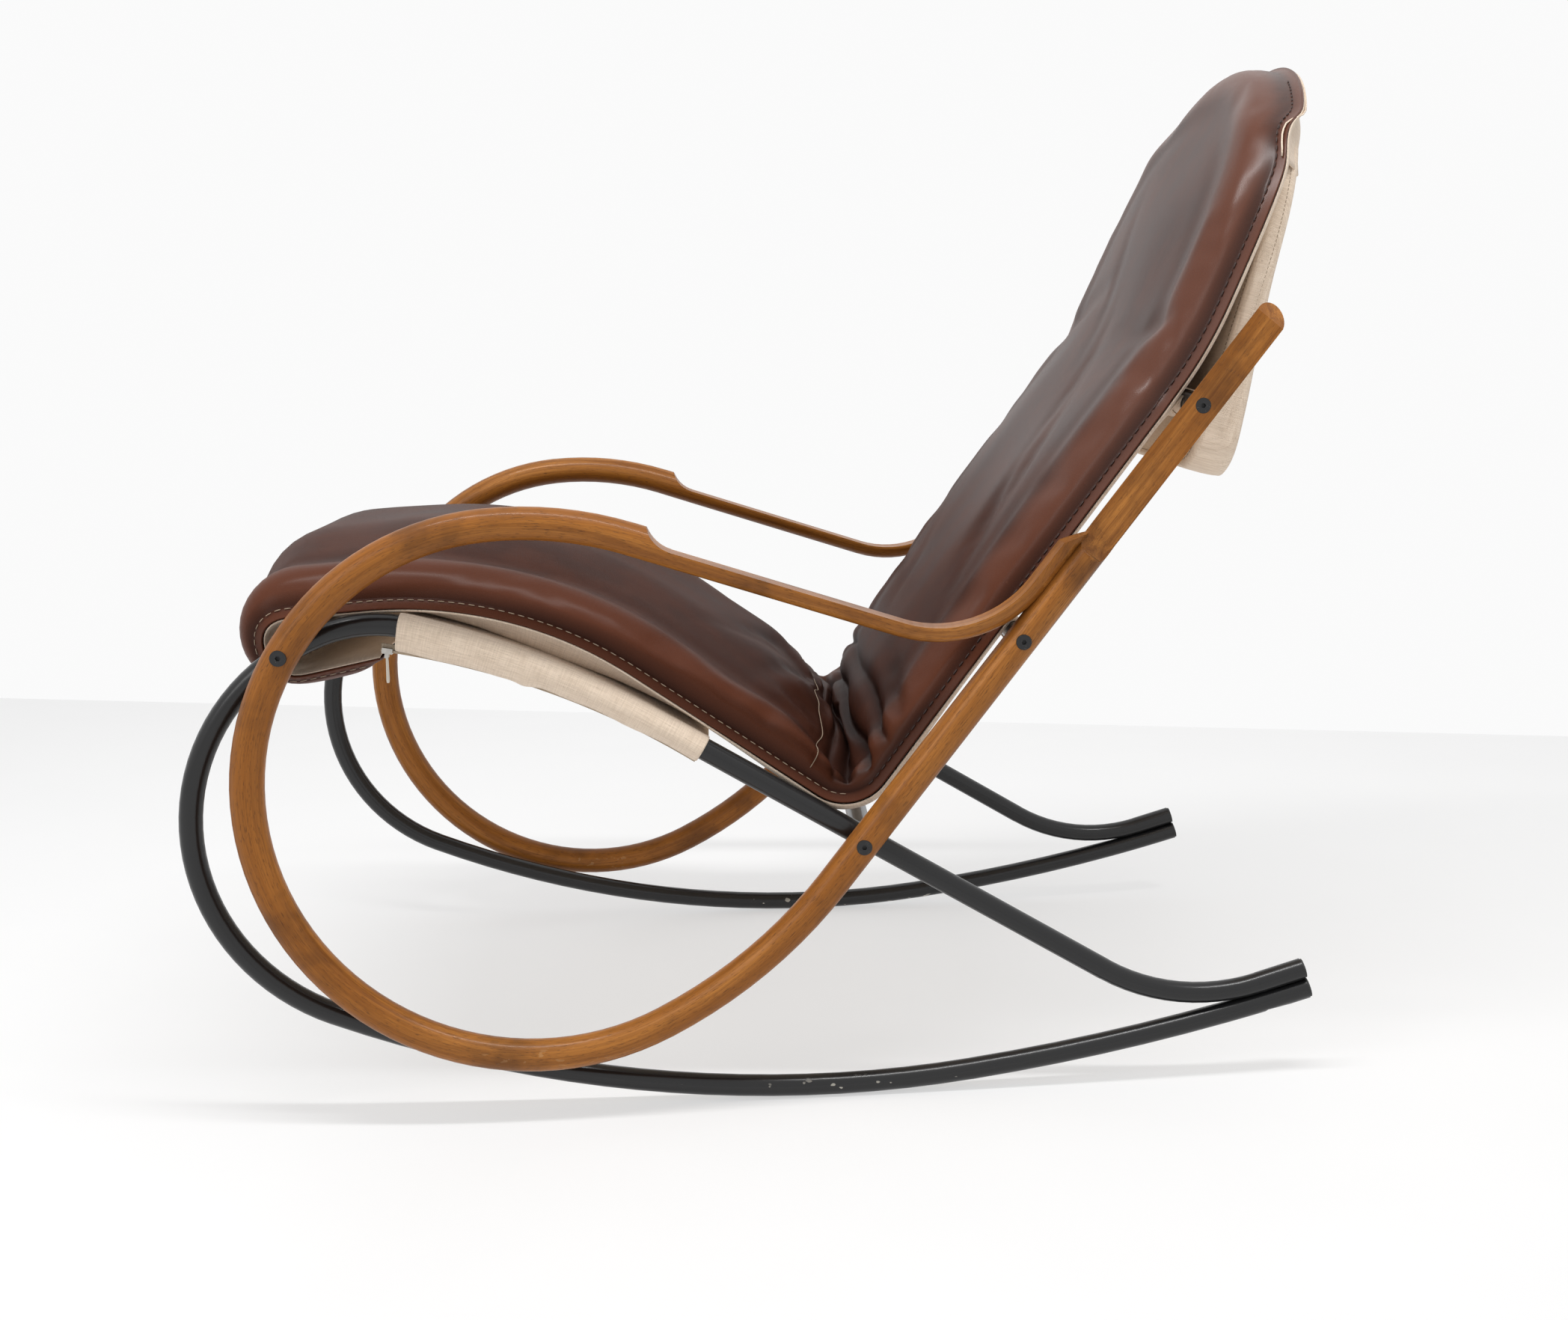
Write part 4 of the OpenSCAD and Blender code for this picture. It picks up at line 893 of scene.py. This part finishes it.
def swell(piece, pin):
    """Cloth simulation of an open skin under pressure, held where pin is 1. The cap limits each move."""
    group = piece.vertex_groups.new(name="held")
    for level in np.unique(np.round(pin, 2)):
        if level > 0:
            group.add(np.flatnonzero(np.round(pin, 2) == level).tolist(), float(level), "REPLACE")
    rest = read(piece.data.vertices, "co", 3) / MM
    cloth = piece.modifiers.new("cloth", "CLOTH")
    for name, value in CLOTH_SETTINGS.items():
        setattr(cloth.settings, name, value)
    cloth.settings.effector_weights.gravity = 0.0
    cloth.collision_settings.use_collision = False
    cloth.point_cache.frame_start = 1
    cloth.point_cache.frame_end = SWELL_FRAMES
    scene = bpy.context.scene
    for number in range(1, SWELL_FRAMES + 1):
        scene.frame_set(number)
    swollen = piece.evaluated_get(bpy.context.evaluated_depsgraph_get())
    move = read(swollen.data.vertices, "co", 3) / MM - rest
    piece.modifiers.clear()
    piece.vertex_groups.clear()
    scene.frame_set(1)
    size = np.linalg.norm(move, axis=1, keepdims=True)
    move = move * np.minimum(1, SWELL_CAP / np.maximum(size, 1e-9)) * (1 - pin[:, None])
    print("cloth moved", piece.name, round(float(size.max()), 2), "mm at most, kept to", SWELL_CAP)
    piece.data.vertices.foreach_set("co", ((rest + move) * MM).reshape(-1))
    piece.data.update()


def leather_skin():
    """The leather side of the pad: one skin from the flap round the front, over the seat and up the back."""
    height = leather_height(pad_d, pad_y, pad_e)
    faces = grid_faces(*pad_d.shape)[:, ::-1]
    places = beside_run(pad_run, pad_d, drawn_in(pad_d, pad_y, pad_e), height)
    piece = new_piece("leather_pad", places, faces, LEATHER)
    pin = 1 - eased((pad_e - FLANGE - 1) / 14)
    pin = np.maximum(pin, bell(pad_d - cross_seam(pad_y), 9))
    swell(piece, pin.reshape(-1))
    # roll marks the rolled sides, which the leather paints lighter and redder as painted light
    roll = (1 - eased((pad_e - 34) / 26)) * (1 - 0.5 * bell(pad_e - FLANGE, 4))
    # painted shade mask: the creases' depth, plus a line along the seam's groove
    hollow_shade = np.clip(pad_creases(pad_d, pad_y) / 9, 0, 1) * eased((pad_e - FLANGE) / 24)
    hollow_shade = hollow_shade + 0.7 * bell(pad_e - FLANGE - 1, 2.4)
    point_values(piece, "lay", np.stack([roll, np.clip(hollow_shade, 0, 1), pad_e * MM], -1))
    thicken(piece, RIM - SKIN_GAP, -1, ("SUBSURF", "SOLIDIFY"))
    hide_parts("seat_pad", "back_pad")


def linen_height(d, e):
    """Height of the linen side: below the flange, over a small roll, then down to the flat underside."""
    drop = FLANGE_DROP * flange_turn(d) * FLANGE
    lip = (2.2 + 4.3 * bell(d - SEAT_L + 10, 90) + 1.6 * eased((d - SEAT_L) / 60)) * eased((e + 1) / 5)
    inwards = eased((e - 6) / 30) ** 0.8
    return pinched(d, e) - RIM / 2 - SKIN_GAP - (drop + lip) * (1 - inwards) - belly_along(d) * inwards


def linen_side():
    """The linen side of the pad, sewn to the leather along the seam."""
    height = linen_height(pad_d, pad_e)
    faces = grid_faces(*pad_d.shape)[:, ::-1]
    places = beside_run(pad_run, pad_d, drawn_in(pad_d, pad_y, 0) * (1 - BACKING / PAD_HALF), height)
    piece = linen_piece("linen_side", places, faces, pad_d, pad_y)
    thicken(piece, BACKING, 1, ("SUBSURF", "SOLIDIFY"))
    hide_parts("seat_backing", "back_backing")


leather_skin()
linen_side()


# Stitches

THREAD_SIDES = 5


def rod_points(starts, ends, radius):
    """Short round-ended stitches, each from five rings along its line that narrow towards both ends."""
    ahead = ends - starts
    length = np.linalg.norm(ahead, axis=1, keepdims=True)
    ahead = ahead / length
    other = np.where(np.abs(ahead[:, 2:3]) < 0.8, [[0, 0, 1.0]], [[0, 1.0, 0]])
    u = np.cross(ahead, other)
    u = u / np.linalg.norm(u, axis=1, keepdims=True)
    v = np.cross(ahead, u)
    along = np.array([0.0, 0.15, 0.5, 0.85, 1.0])
    size = np.array([0.35, 0.9, 1.0, 0.9, 0.35]) * radius
    corner = np.arange(THREAD_SIDES)
    turn = corner * 2 * math.pi / THREAD_SIDES
    ring = np.cos(turn)[:, None] * u[:, None, None, :] + np.sin(turn)[:, None] * v[:, None, None, :]
    centre = starts[:, None, :] + ahead[:, None, :] * (length * along)[..., None]
    points = centre[:, :, None, :] + ring * size[None, :, None, None]
    first = (np.arange(len(starts)) * len(along) * THREAD_SIDES)[:, None, None]
    walls = (grid_faces(len(along), THREAD_SIDES, closed=True) + first).reshape(-1, 4)
    caps = np.stack([corner[::-1], (len(along) - 1) * THREAD_SIDES + corner]) + first
    return points.reshape(-1, 3), walls.tolist() + caps.reshape(-1, THREAD_SIDES).tolist()


def stitch_line(points, pitch, stitch):
    """Starts and ends of stitches at a pitch along a line of points."""
    s = line_lengths(points)
    first = np.arange(pitch, s[-1] - pitch, pitch)
    return [np.stack([np.interp(first + o, s, points[:, k]) for k in range(3)], 1) for o in (0, stitch)]


def sewn(name, lines, material, radius, pitch, stitch):
    """A piece of stitches along several lines."""
    starts, ends = zip(*[stitch_line(line, pitch, stitch) for line in lines])
    points, faces = rod_points(np.concatenate(starts), np.concatenate(ends), radius)
    new_piece(name, points, faces, material)


def seam_line(first, last, e, side, out):
    """A line along the flange, e inside the pad's outline and standing out from the leather."""
    d = np.arange(first, last, 4.0)
    half = pad_half_width(d)
    inside = half - e * np.sqrt(1 + np.gradient(half, d) ** 2)
    y = side * (drawn_in(d, inside, e) + out)
    return beside_run(pad_run, d, y, leather_height(d, side * inside, e) + out)


change = SEAT_L + THREAD_CHANGE
seat_seams = [seam_line(6, change, FLANGE - 2.0, side, out=0.3) for side in (-1, 1)]
back_seams = [seam_line(change, PAD_L - 30, FLANGE - 0.8, side, out=0.35) for side in (-1, 1)]
sewn("seat_stitches", seat_seams, CREAM_THREAD, radius=0.45, pitch=8.6, stitch=5.6)
sewn("back_stitches", back_seams, BROWN_THREAD, radius=0.8, pitch=9.0, stitch=6.0)


def cross_thread():
    """A light thread along the seam between the two leather panels: a tube 1 mm thick."""
    y = np.linspace(-PAD_HALF + 12, PAD_HALF - 12, 260)
    r = 0.5
    d = cross_seam(y)
    height = leather_height(d, y, pad_half_width(d) - np.abs(y)) + 0.8
    turn = np.arange(THREAD_SIDES) * 2 * math.pi / THREAD_SIDES
    around, out = d[:, None] + r * np.cos(turn), height[:, None] + r * np.sin(turn)
    places = beside_run(pad_run, around, y[:, None], out)
    faces = grid_faces(len(y), THREAD_SIDES, closed=True)[:, ::-1]
    new_piece("cross_seam_thread", places, faces, CREAM_THREAD)


cross_thread()


# Sleeves

def runner_distance(x):
    """Distance along the runner's upper side at which it reaches a place along X."""
    d = np.linspace(runner_run.length - 900, runner_run.length, 4000)
    px = runner_run.at(d)[0]
    return float(d[np.abs(px - x).argmin()])


def zip_depth(d):
    """Depth of the zip's arc under the runner's axis, along the run's normal."""
    x, z, h = runner_run.at(d)
    qx, qz = x - ZIP_C[0], z - ZIP_C[1]
    b = -qx * np.sin(h) + qz * np.cos(h)
    return b - np.sqrt(b * b - (qx * qx + qz * qz - ZIP_R ** 2))


SLEEVE_SPAN = (runner_distance(SLEEVE_FRONT_X), runner_distance(SLEEVE_REAR_X))
SLEEVE_R = TUBE_R + CLEAR + LINEN_T
SLEEVE_FULL = TUBE_R + ZIP_INSET * 0.3 + LINEN_T


def sleeve_section(d, side):
    """The sleeve's outer line at each distance: across the tube and up from its axis, hanging in folds."""
    b = (np.maximum(TUBE_R + CLEAR, zip_depth(d) - SLIDER_H / 2 - CLEAR - LINEN_T) + LINEN_T)[:, None]
    outer_a = np.radians(np.linspace(90, 0, 13)[:-1])
    top_a = np.radians(np.linspace(0, 180, 25))
    lip = TAPE_T + CLEAR / 2 + LINEN_T
    seam = lip - ZIP_INSET
    one = np.ones((len(d), 1))
    over = np.where(top_a < np.pi / 2, SLEEVE_R, SLEEVE_FULL)
    u = [seam, seam + 2.5, *(SLEEVE_R * np.cos(outer_a)), *(over * np.cos(top_a))]
    u = one * np.array(u + [-SLEEVE_FULL, -SLEEVE_FULL + 1, -ZIP_INSET - lip - 1, -ZIP_INSET - lip])
    start = np.concatenate([-b + 0.3, -b + 0.2, -b * np.sin(outer_a), one * SLEEVE_R * np.sin(top_a)], 1)
    w = np.concatenate([start, -b * 0.5, -b * 0.85, -b + 0.2, -b + 0.3], 1)
    ripple = 0.5 * waves(d[:, None], w * 6, seed=3 + side, count=6, low=0.05, high=0.2)
    hang = eased(-w / 14) * eased((np.abs(u + ZIP_INSET) - 7) / 6)
    folds = 1 + np.sin(d / 9.5) * 0.6 + np.sin(d / 23) * 0.8 + 3.2 * bell(d - d[0] - 118, 9)
    return u + hang * ripple, w - hang * 0.9 * folds[:, None]


def sleeve(node, side):
    """Cloth round the runner's tube, carried along it as an outer line and then given its thickness.

    The line is a half circle over the top, rounded outside and flat inside, with two lips at the zip.
    """
    first, last = SLEEVE_SPAN
    d = np.linspace(first, last, 91)
    u, w = sleeve_section(d, side)
    places = beside_run(runner_run, d[:, None], side * (RUNNER_Y + u), w)
    faces = grid_faces(*u.shape)
    if side < 0:
        faces = faces[:, ::-1]
    around = line_lengths(np.stack([u[0], w[0]], 1))
    piece = linen_piece(node + "_cloth", places, faces, d[:, None], around)
    thicken(piece, LINEN_T - CLEAR, -1, ("SOLIDIFY", "SUBSURF"))
    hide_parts(node)


sleeve("left_seat_sleeve", -1)
sleeve("right_seat_sleeve", 1)


# Slings

def seat_sling():
    """The seat sling, stretched between the sleeves. It sags by the square of its place across."""
    first, last = SLEEVE_SPAN
    half = RUNNER_Y - TUBE_R - CLEAR - LINEN_T
    lift = SLEEVE_R * math.sqrt(1 - ((RUNNER_Y - half) / SLEEVE_FULL) ** 2) + LINEN_T / 2 + CLEAR
    d, v = np.meshgrid(np.linspace(first, last, 60), np.linspace(-1, 1, 70), indexing="ij")
    y = half * v
    uneven = 0.5 * waves(d, y, seed=12, count=5, low=0.02, high=0.06) * (1 - v ** 4)
    places = beside_run(runner_run, d, y, lift - SEAT_SAG * (1 - v * v) + uneven)
    piece = linen_piece("seat_sling_cloth", places, grid_faces(*d.shape), d, y)
    thicken(piece, LINEN_T)
    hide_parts("seat_sling")


def back_sling():
    """The back sling: a strip over both back tubes, hemmed round each, its sides drawn in between them."""
    reach = UPPER_TUBE_AT - LOWER_TUBE_AT
    r = CROSS_R + CLEAR + LINEN_T / 2
    wrap = np.radians(np.linspace(-180, 90, 19))
    low_hem = np.stack([r * np.cos(wrap), r * np.sin(wrap)], 1)
    straight = np.linspace(0, reach, 30)[1:-1]
    between = np.stack([straight, np.full_like(straight, r)], 1)
    line = np.concatenate([low_hem, between, low_hem[::-1] * [-1, 1] + [reach, 0]])
    s = line_lengths(line)[:, None]
    u, w = line[:, :1], line[:, 1:]
    v = np.linspace(-1, 1, 61)
    draw = SLING_DRAW * np.clip(1 - ((u - reach / 2) / (reach / 2)) ** 2, 0, 1)
    w = w + 0.4 * waves(s, v * SLING_HALF, seed=31, count=5, low=0.03, high=0.08)
    x, z = from_place(LOWER_BACK, LEAN, u, w)
    y = (SLING_HALF - draw) * v
    piece = linen_piece("back_sling_cloth", np.stack([x, y, z], -1), grid_faces(*x.shape), s, y)
    thicken(piece, THIN_LINEN_T)
    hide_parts("back_sling")


seat_sling()
back_sling()


# Head panel

EDGE_POINTS = 240
EDGE_ROUND = 5.0
STITCH_INSET = 9.0


def round_corner(centre, r, first, last, count):
    """Places along an arc about a centre, between two angles in radians."""
    turn = np.linspace(first, last, count)
    return np.stack([centre[0] + r * np.cos(turn), centre[1] + r * np.sin(turn)], 1)


def panel_edge():
    """The panel's outline in its plane: rounded lower corners, upright sides and a three-centred arch."""
    half = PANEL_W / 2
    side_x = half - PANEL_TOP_R
    drop = math.sqrt((PANEL_ARCH_R - PANEL_TOP_R) ** 2 - side_x ** 2)
    arch_c = PANEL_H - PANEL_ARCH_R
    touch = math.atan2(drop, side_x)
    right = np.concatenate([
        round_corner((half - PANEL_LOW_R, PANEL_LOW_R), PANEL_LOW_R, -math.pi / 2, 0, 16),
        round_corner((side_x, arch_c + drop), PANEL_TOP_R, 0, touch, 30),
        round_corner((0, arch_c), PANEL_ARCH_R, touch, math.pi / 2, 30),
    ])
    left = right[::-1] * [-1, 1]
    outline = np.concatenate([right, left[1:], right[:1]])
    s = line_lengths(outline)
    at = np.linspace(0, s[-1], EDGE_POINTS + 1)[:-1]
    return np.stack([np.interp(at, s, outline[:, 0]), np.interp(at, s, outline[:, 1])], 1)


def in_panel(across, up, off):
    """Places on the head panel: across the chair, up its middle plane and forward of that plane."""
    x, z = from_place(PANEL_LOW, PANEL_A, up, off)
    return np.stack([x, across, z], -1)


def head_cover():
    """Linen cover of the head panel: its outline shrunk in rings towards the middle, front and back.

    A ring e mm inside the outline stands off by h (1 - (1 - e/5)^2)^0.5, with h the half panel in front and
    the padded depth behind. The padding grows towards the cover's lower end.
    """
    edge = panel_edge()
    centre = np.array([0.0, PANEL_H * COVER_CENTRE])
    share = np.concatenate([[0.0], np.linspace(0.12, 0.9, 9), [0.94, 0.965, 0.975, 0.985, 0.993, 0.998, 1.0]])
    reach = np.linalg.norm(edge - centre, axis=1).mean()
    e = (1 - share) * reach
    round_edge = np.sqrt(1 - np.clip(1 - e / EDGE_ROUND, 0, 1) ** 2)
    groove = 0.7 * bell(e - STITCH_INSET, 1.6)
    front = PANEL_T / 2 * round_edge - groove
    back = -(PANEL_T / 2 + COVER_PUFF) * round_edge + groove
    share, height = np.concatenate([np.stack([share, front], 1), np.stack([share, back], 1)[-2::-1]]).T
    ring = centre + (edge - centre) * share[:, None, None]
    across, up = ring[..., 0], ring[..., 1]
    height = height[:, None]
    puff = 0.5 * waves(across, up, seed=5, count=5, low=0.01, high=0.04) * (share < 0.95)[:, None]
    low_end = COVER_LOW_PUFF * (1 - eased(up / COVER_LOW_REACH)) * np.minimum(height, 0) / COVER_PUFF
    places = in_panel(across, up, height + low_end + puff * np.sign(height) * 0.3)
    faces = grid_faces(len(share), len(edge), closed=True)
    piece = linen_piece("head_cover_cloth", places, faces, up, across)
    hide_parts("head_cover")
    lines = []
    face = PANEL_T / 2 - 0.2
    for inset, off in ((STITCH_INSET, face), (STITCH_INSET, -face - COVER_PUFF), (0.7, -7.6)):
        loop = centre + (edge - centre) * (1 - inset / reach)
        loop = np.concatenate([loop, loop[:1]])
        lines.append(in_panel(loop[:, 0], loop[:, 1], off))
    sewn("head_cover_stitches", lines, CREAM_THREAD, radius=0.4, pitch=4.2, stitch=3.0)


head_cover()


def strap_loops():
    """Two linen loops from the head panel round the upper back tube, each a closed band."""
    a = math.radians(PANEL_A)
    r = CROSS_R + 2 * CLEAR + 1.5 * LINEN_T
    gap = (PANEL_LOW[0] - UPPER_BACK[0]) * math.sin(a) - (PANEL_LOW[1] - UPPER_BACK[1]) * math.cos(a)
    foot = gap - PANEL_T / 2 - LINEN_T / 2
    arc = np.radians(np.linspace(0, 180, 25))
    down = np.linspace(0, -foot, 6)[1:-1]
    u = np.concatenate([r * np.cos(arc), [-r] * 4, np.linspace(-r, r, 9)[1:-1], [r] * 4])
    w = np.concatenate([r * np.sin(arc), down, np.full(7, -foot), down[::-1]])
    x, z = from_place(UPPER_BACK, PANEL_A, u, w)
    line = np.stack([x, 0 * x, z], 1)
    line = np.concatenate([line, line[:1]])
    s = line_lengths(line)[:, None]
    for name, middle in (("left_strap_loop", -STRAP_Y), ("right_strap_loop", STRAP_Y)):
        y = middle + STRAP_HALF * np.linspace(-1, 1, 21)
        places = line[:, None, :] + np.stack([0 * y, y, 0 * y], 1)
        faces = grid_faces(*places.shape[:2])[:, ::-1]
        piece = linen_piece(name, places, faces, s, y)
        thicken(piece, THIN_LINEN_T)
        if middle < 0:
            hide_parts("head_loops")


strap_loops()


def head_pocket():
    """The pocket at the pad's top: linen from the arched seam round the head panel's back, open below."""
    t = POCKET_L * (1 - np.cos(np.linspace(0, math.pi / 2, 30))) + 2.0
    v = np.sin(np.linspace(-math.pi / 2, math.pi / 2, 61))
    d, v = np.meshgrid(PAD_L - t, v, indexing="ij")
    y = v * (pad_half_width(d) - POCKET_INSET)
    e = edge_distance(d[:, ::-1], y[:, ::-1])[:, ::-1]
    up = eased((PAD_L - d - POCKET_TOP) / (POCKET_L - POCKET_TOP))
    padding = COVER_PUFF + POCKET_SLACK + COVER_LOW_PUFF * (1 - up)
    back_off = PANEL_T + 4 * CLEAR + 2 * BACKING + panel_room(d) + padding
    bulge = eased(e / POCKET_BULGE) ** 0.8
    depth = RIM + 0.4 + BACKING + bulge * back_off - pinched(d, e)
    piece = linen_piece("head_pocket_cloth", beside_run(pad_run, d, y, -depth), grid_faces(*d.shape), d, y)
    thicken(piece, POCKET_LINEN_T)
    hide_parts("head_pocket")


head_pocket()


# Finishes of the carried nodes

def finish_node(name, material):
    """Gives a carried node its own finish."""
    slots = nodes[name].data.materials
    slots.clear()
    slots.append(material)


for side in ("left", "right"):
    finish_node(side + "_runner", LACQUER)
    finish_node(side + "_zip", ZIP_TAPE)
    finish_node(side + "_zip_slider", PLATED)
    finish_node(side + "_pull_tab", PULL)
for name in ("front_cross_tube", "rear_cross_tube", "lower_back_tube", "upper_back_tube"):
    finish_node(name, LACQUER)
finish_node("runner_end_plugs", PLUG)
finish_node("threaded_inserts", PLATED)
finish_node("frame_screws", OXIDE)
finish_node("rail_washers", OXIDE)
finish_node("arm_dowels", FLAT_BEECH)
finish_node("head_board", FLAT_BEECH)


# Studio

CHAIR_MIDDLE = (0.0, 0.0, 0.4)
BACKDROP = 0.96
AMBIENT = 0.6


def studio_floor():
    """A pale floor with a glow of its own that ends in a faint line at the foot of the white backdrop."""
    f = Finish("studio_floor")
    grain = f.noise(f.place(), 6.0, 3.0)
    place = f.scaled(f.place(), (1, 1, 0))
    gap = f.add("ShaderNodeVectorMath", {"operation": "LENGTH"}, [place], output="Value")
    far = f.ramp(gap, 0.7, 3.2)
    material = f.surface(
        Base_Color=f.mix(grain, (0.40, 0.40, 0.40), (0.42, 0.42, 0.42)),
        Roughness=0.6,
        Emission_Color=f.mix(far, (0.50, 0.50, 0.50), (0.45, 0.45, 0.45)),
        Emission_Strength=1.0,
    )
    mesh = bpy.data.meshes.new("studio_floor")
    near_edge = [(-12, -12, 0), (12, -12, 0)]
    far_edge = [(12, -1.45, 0), (-12, 4.32, 0)]
    mesh.from_pydata(near_edge + far_edge, [], [(0, 1, 2, 3)])
    mesh.materials.append(material)
    linked("studio_floor", mesh)


def soft_light(name, place, size, power):
    """A rectangular lamp that faces the middle of the chair."""
    lamp = bpy.data.lights.new(name, "AREA")
    lamp.shape = "RECTANGLE"
    lamp.size, lamp.size_y = size
    lamp.energy = power
    holder = linked(name, lamp)
    holder.location = place
    holder.rotation_euler = (Vector(CHAIR_MIDDLE) - Vector(place)).to_track_quat("-Z", "Y").to_euler()


def studio_world():
    """White to the camera and in reflections, a lower level for the rest of the light."""
    world = bpy.data.worlds.new("studio")
    bpy.context.scene.world = world
    world.use_nodes = True
    w = Layout(world.node_tree)
    camera = w.add("ShaderNodeLightPath", output="Is Camera Ray")
    glossy = w.add("ShaderNodeLightPath", output="Is Glossy Ray")
    seen = w.add("ShaderNodeBackground", None, [(BACKDROP, BACKDROP, BACKDROP), 1.0])
    lit = w.add("ShaderNodeBackground", None, [(1, 1, 1), AMBIENT])
    mix = w.add("ShaderNodeMixShader", None, [camera.maths("MAXIMUM", glossy), lit, seen])
    out = w.nodes.new("ShaderNodeOutputWorld")
    w.links.new(mix.socket, out.inputs[0])


def photo_camera():
    """The photograph's camera: its place, its three axes, its lens and the shift of its frame."""
    place = Vector((-0.033, -1.9256, 0.697))
    right = Vector((0.99296, -0.11847, 0.0))
    down = Vector((-0.01916, -0.1606, -0.98684))
    ahead = Vector((0.11691, 0.97988, -0.16174))
    camera = bpy.data.cameras.new("photo_camera")
    camera.sensor_width = 36.0
    camera.lens = 42.94
    camera.shift_x = -0.1202
    camera.shift_y = -0.0153
    camera.clip_start = 0.05
    camera.clip_end = 100.0
    holder = linked("photo_camera", camera)
    axes = Matrix((right, -down, -ahead)).transposed().to_4x4()
    holder.matrix_world = Matrix.Translation(place) @ axes
    bpy.context.scene.camera = holder


photo_camera()
studio_world()
studio_floor()
soft_light("overhead", place=(-0.1, -0.8, 2.5), size=(2.4, 0.16), power=40)
soft_light("front_left", place=(-2.2, -2.2, 1.7), size=(1.2, 1.6), power=16)
bpy.context.scene.view_settings.view_transform = "Standard"
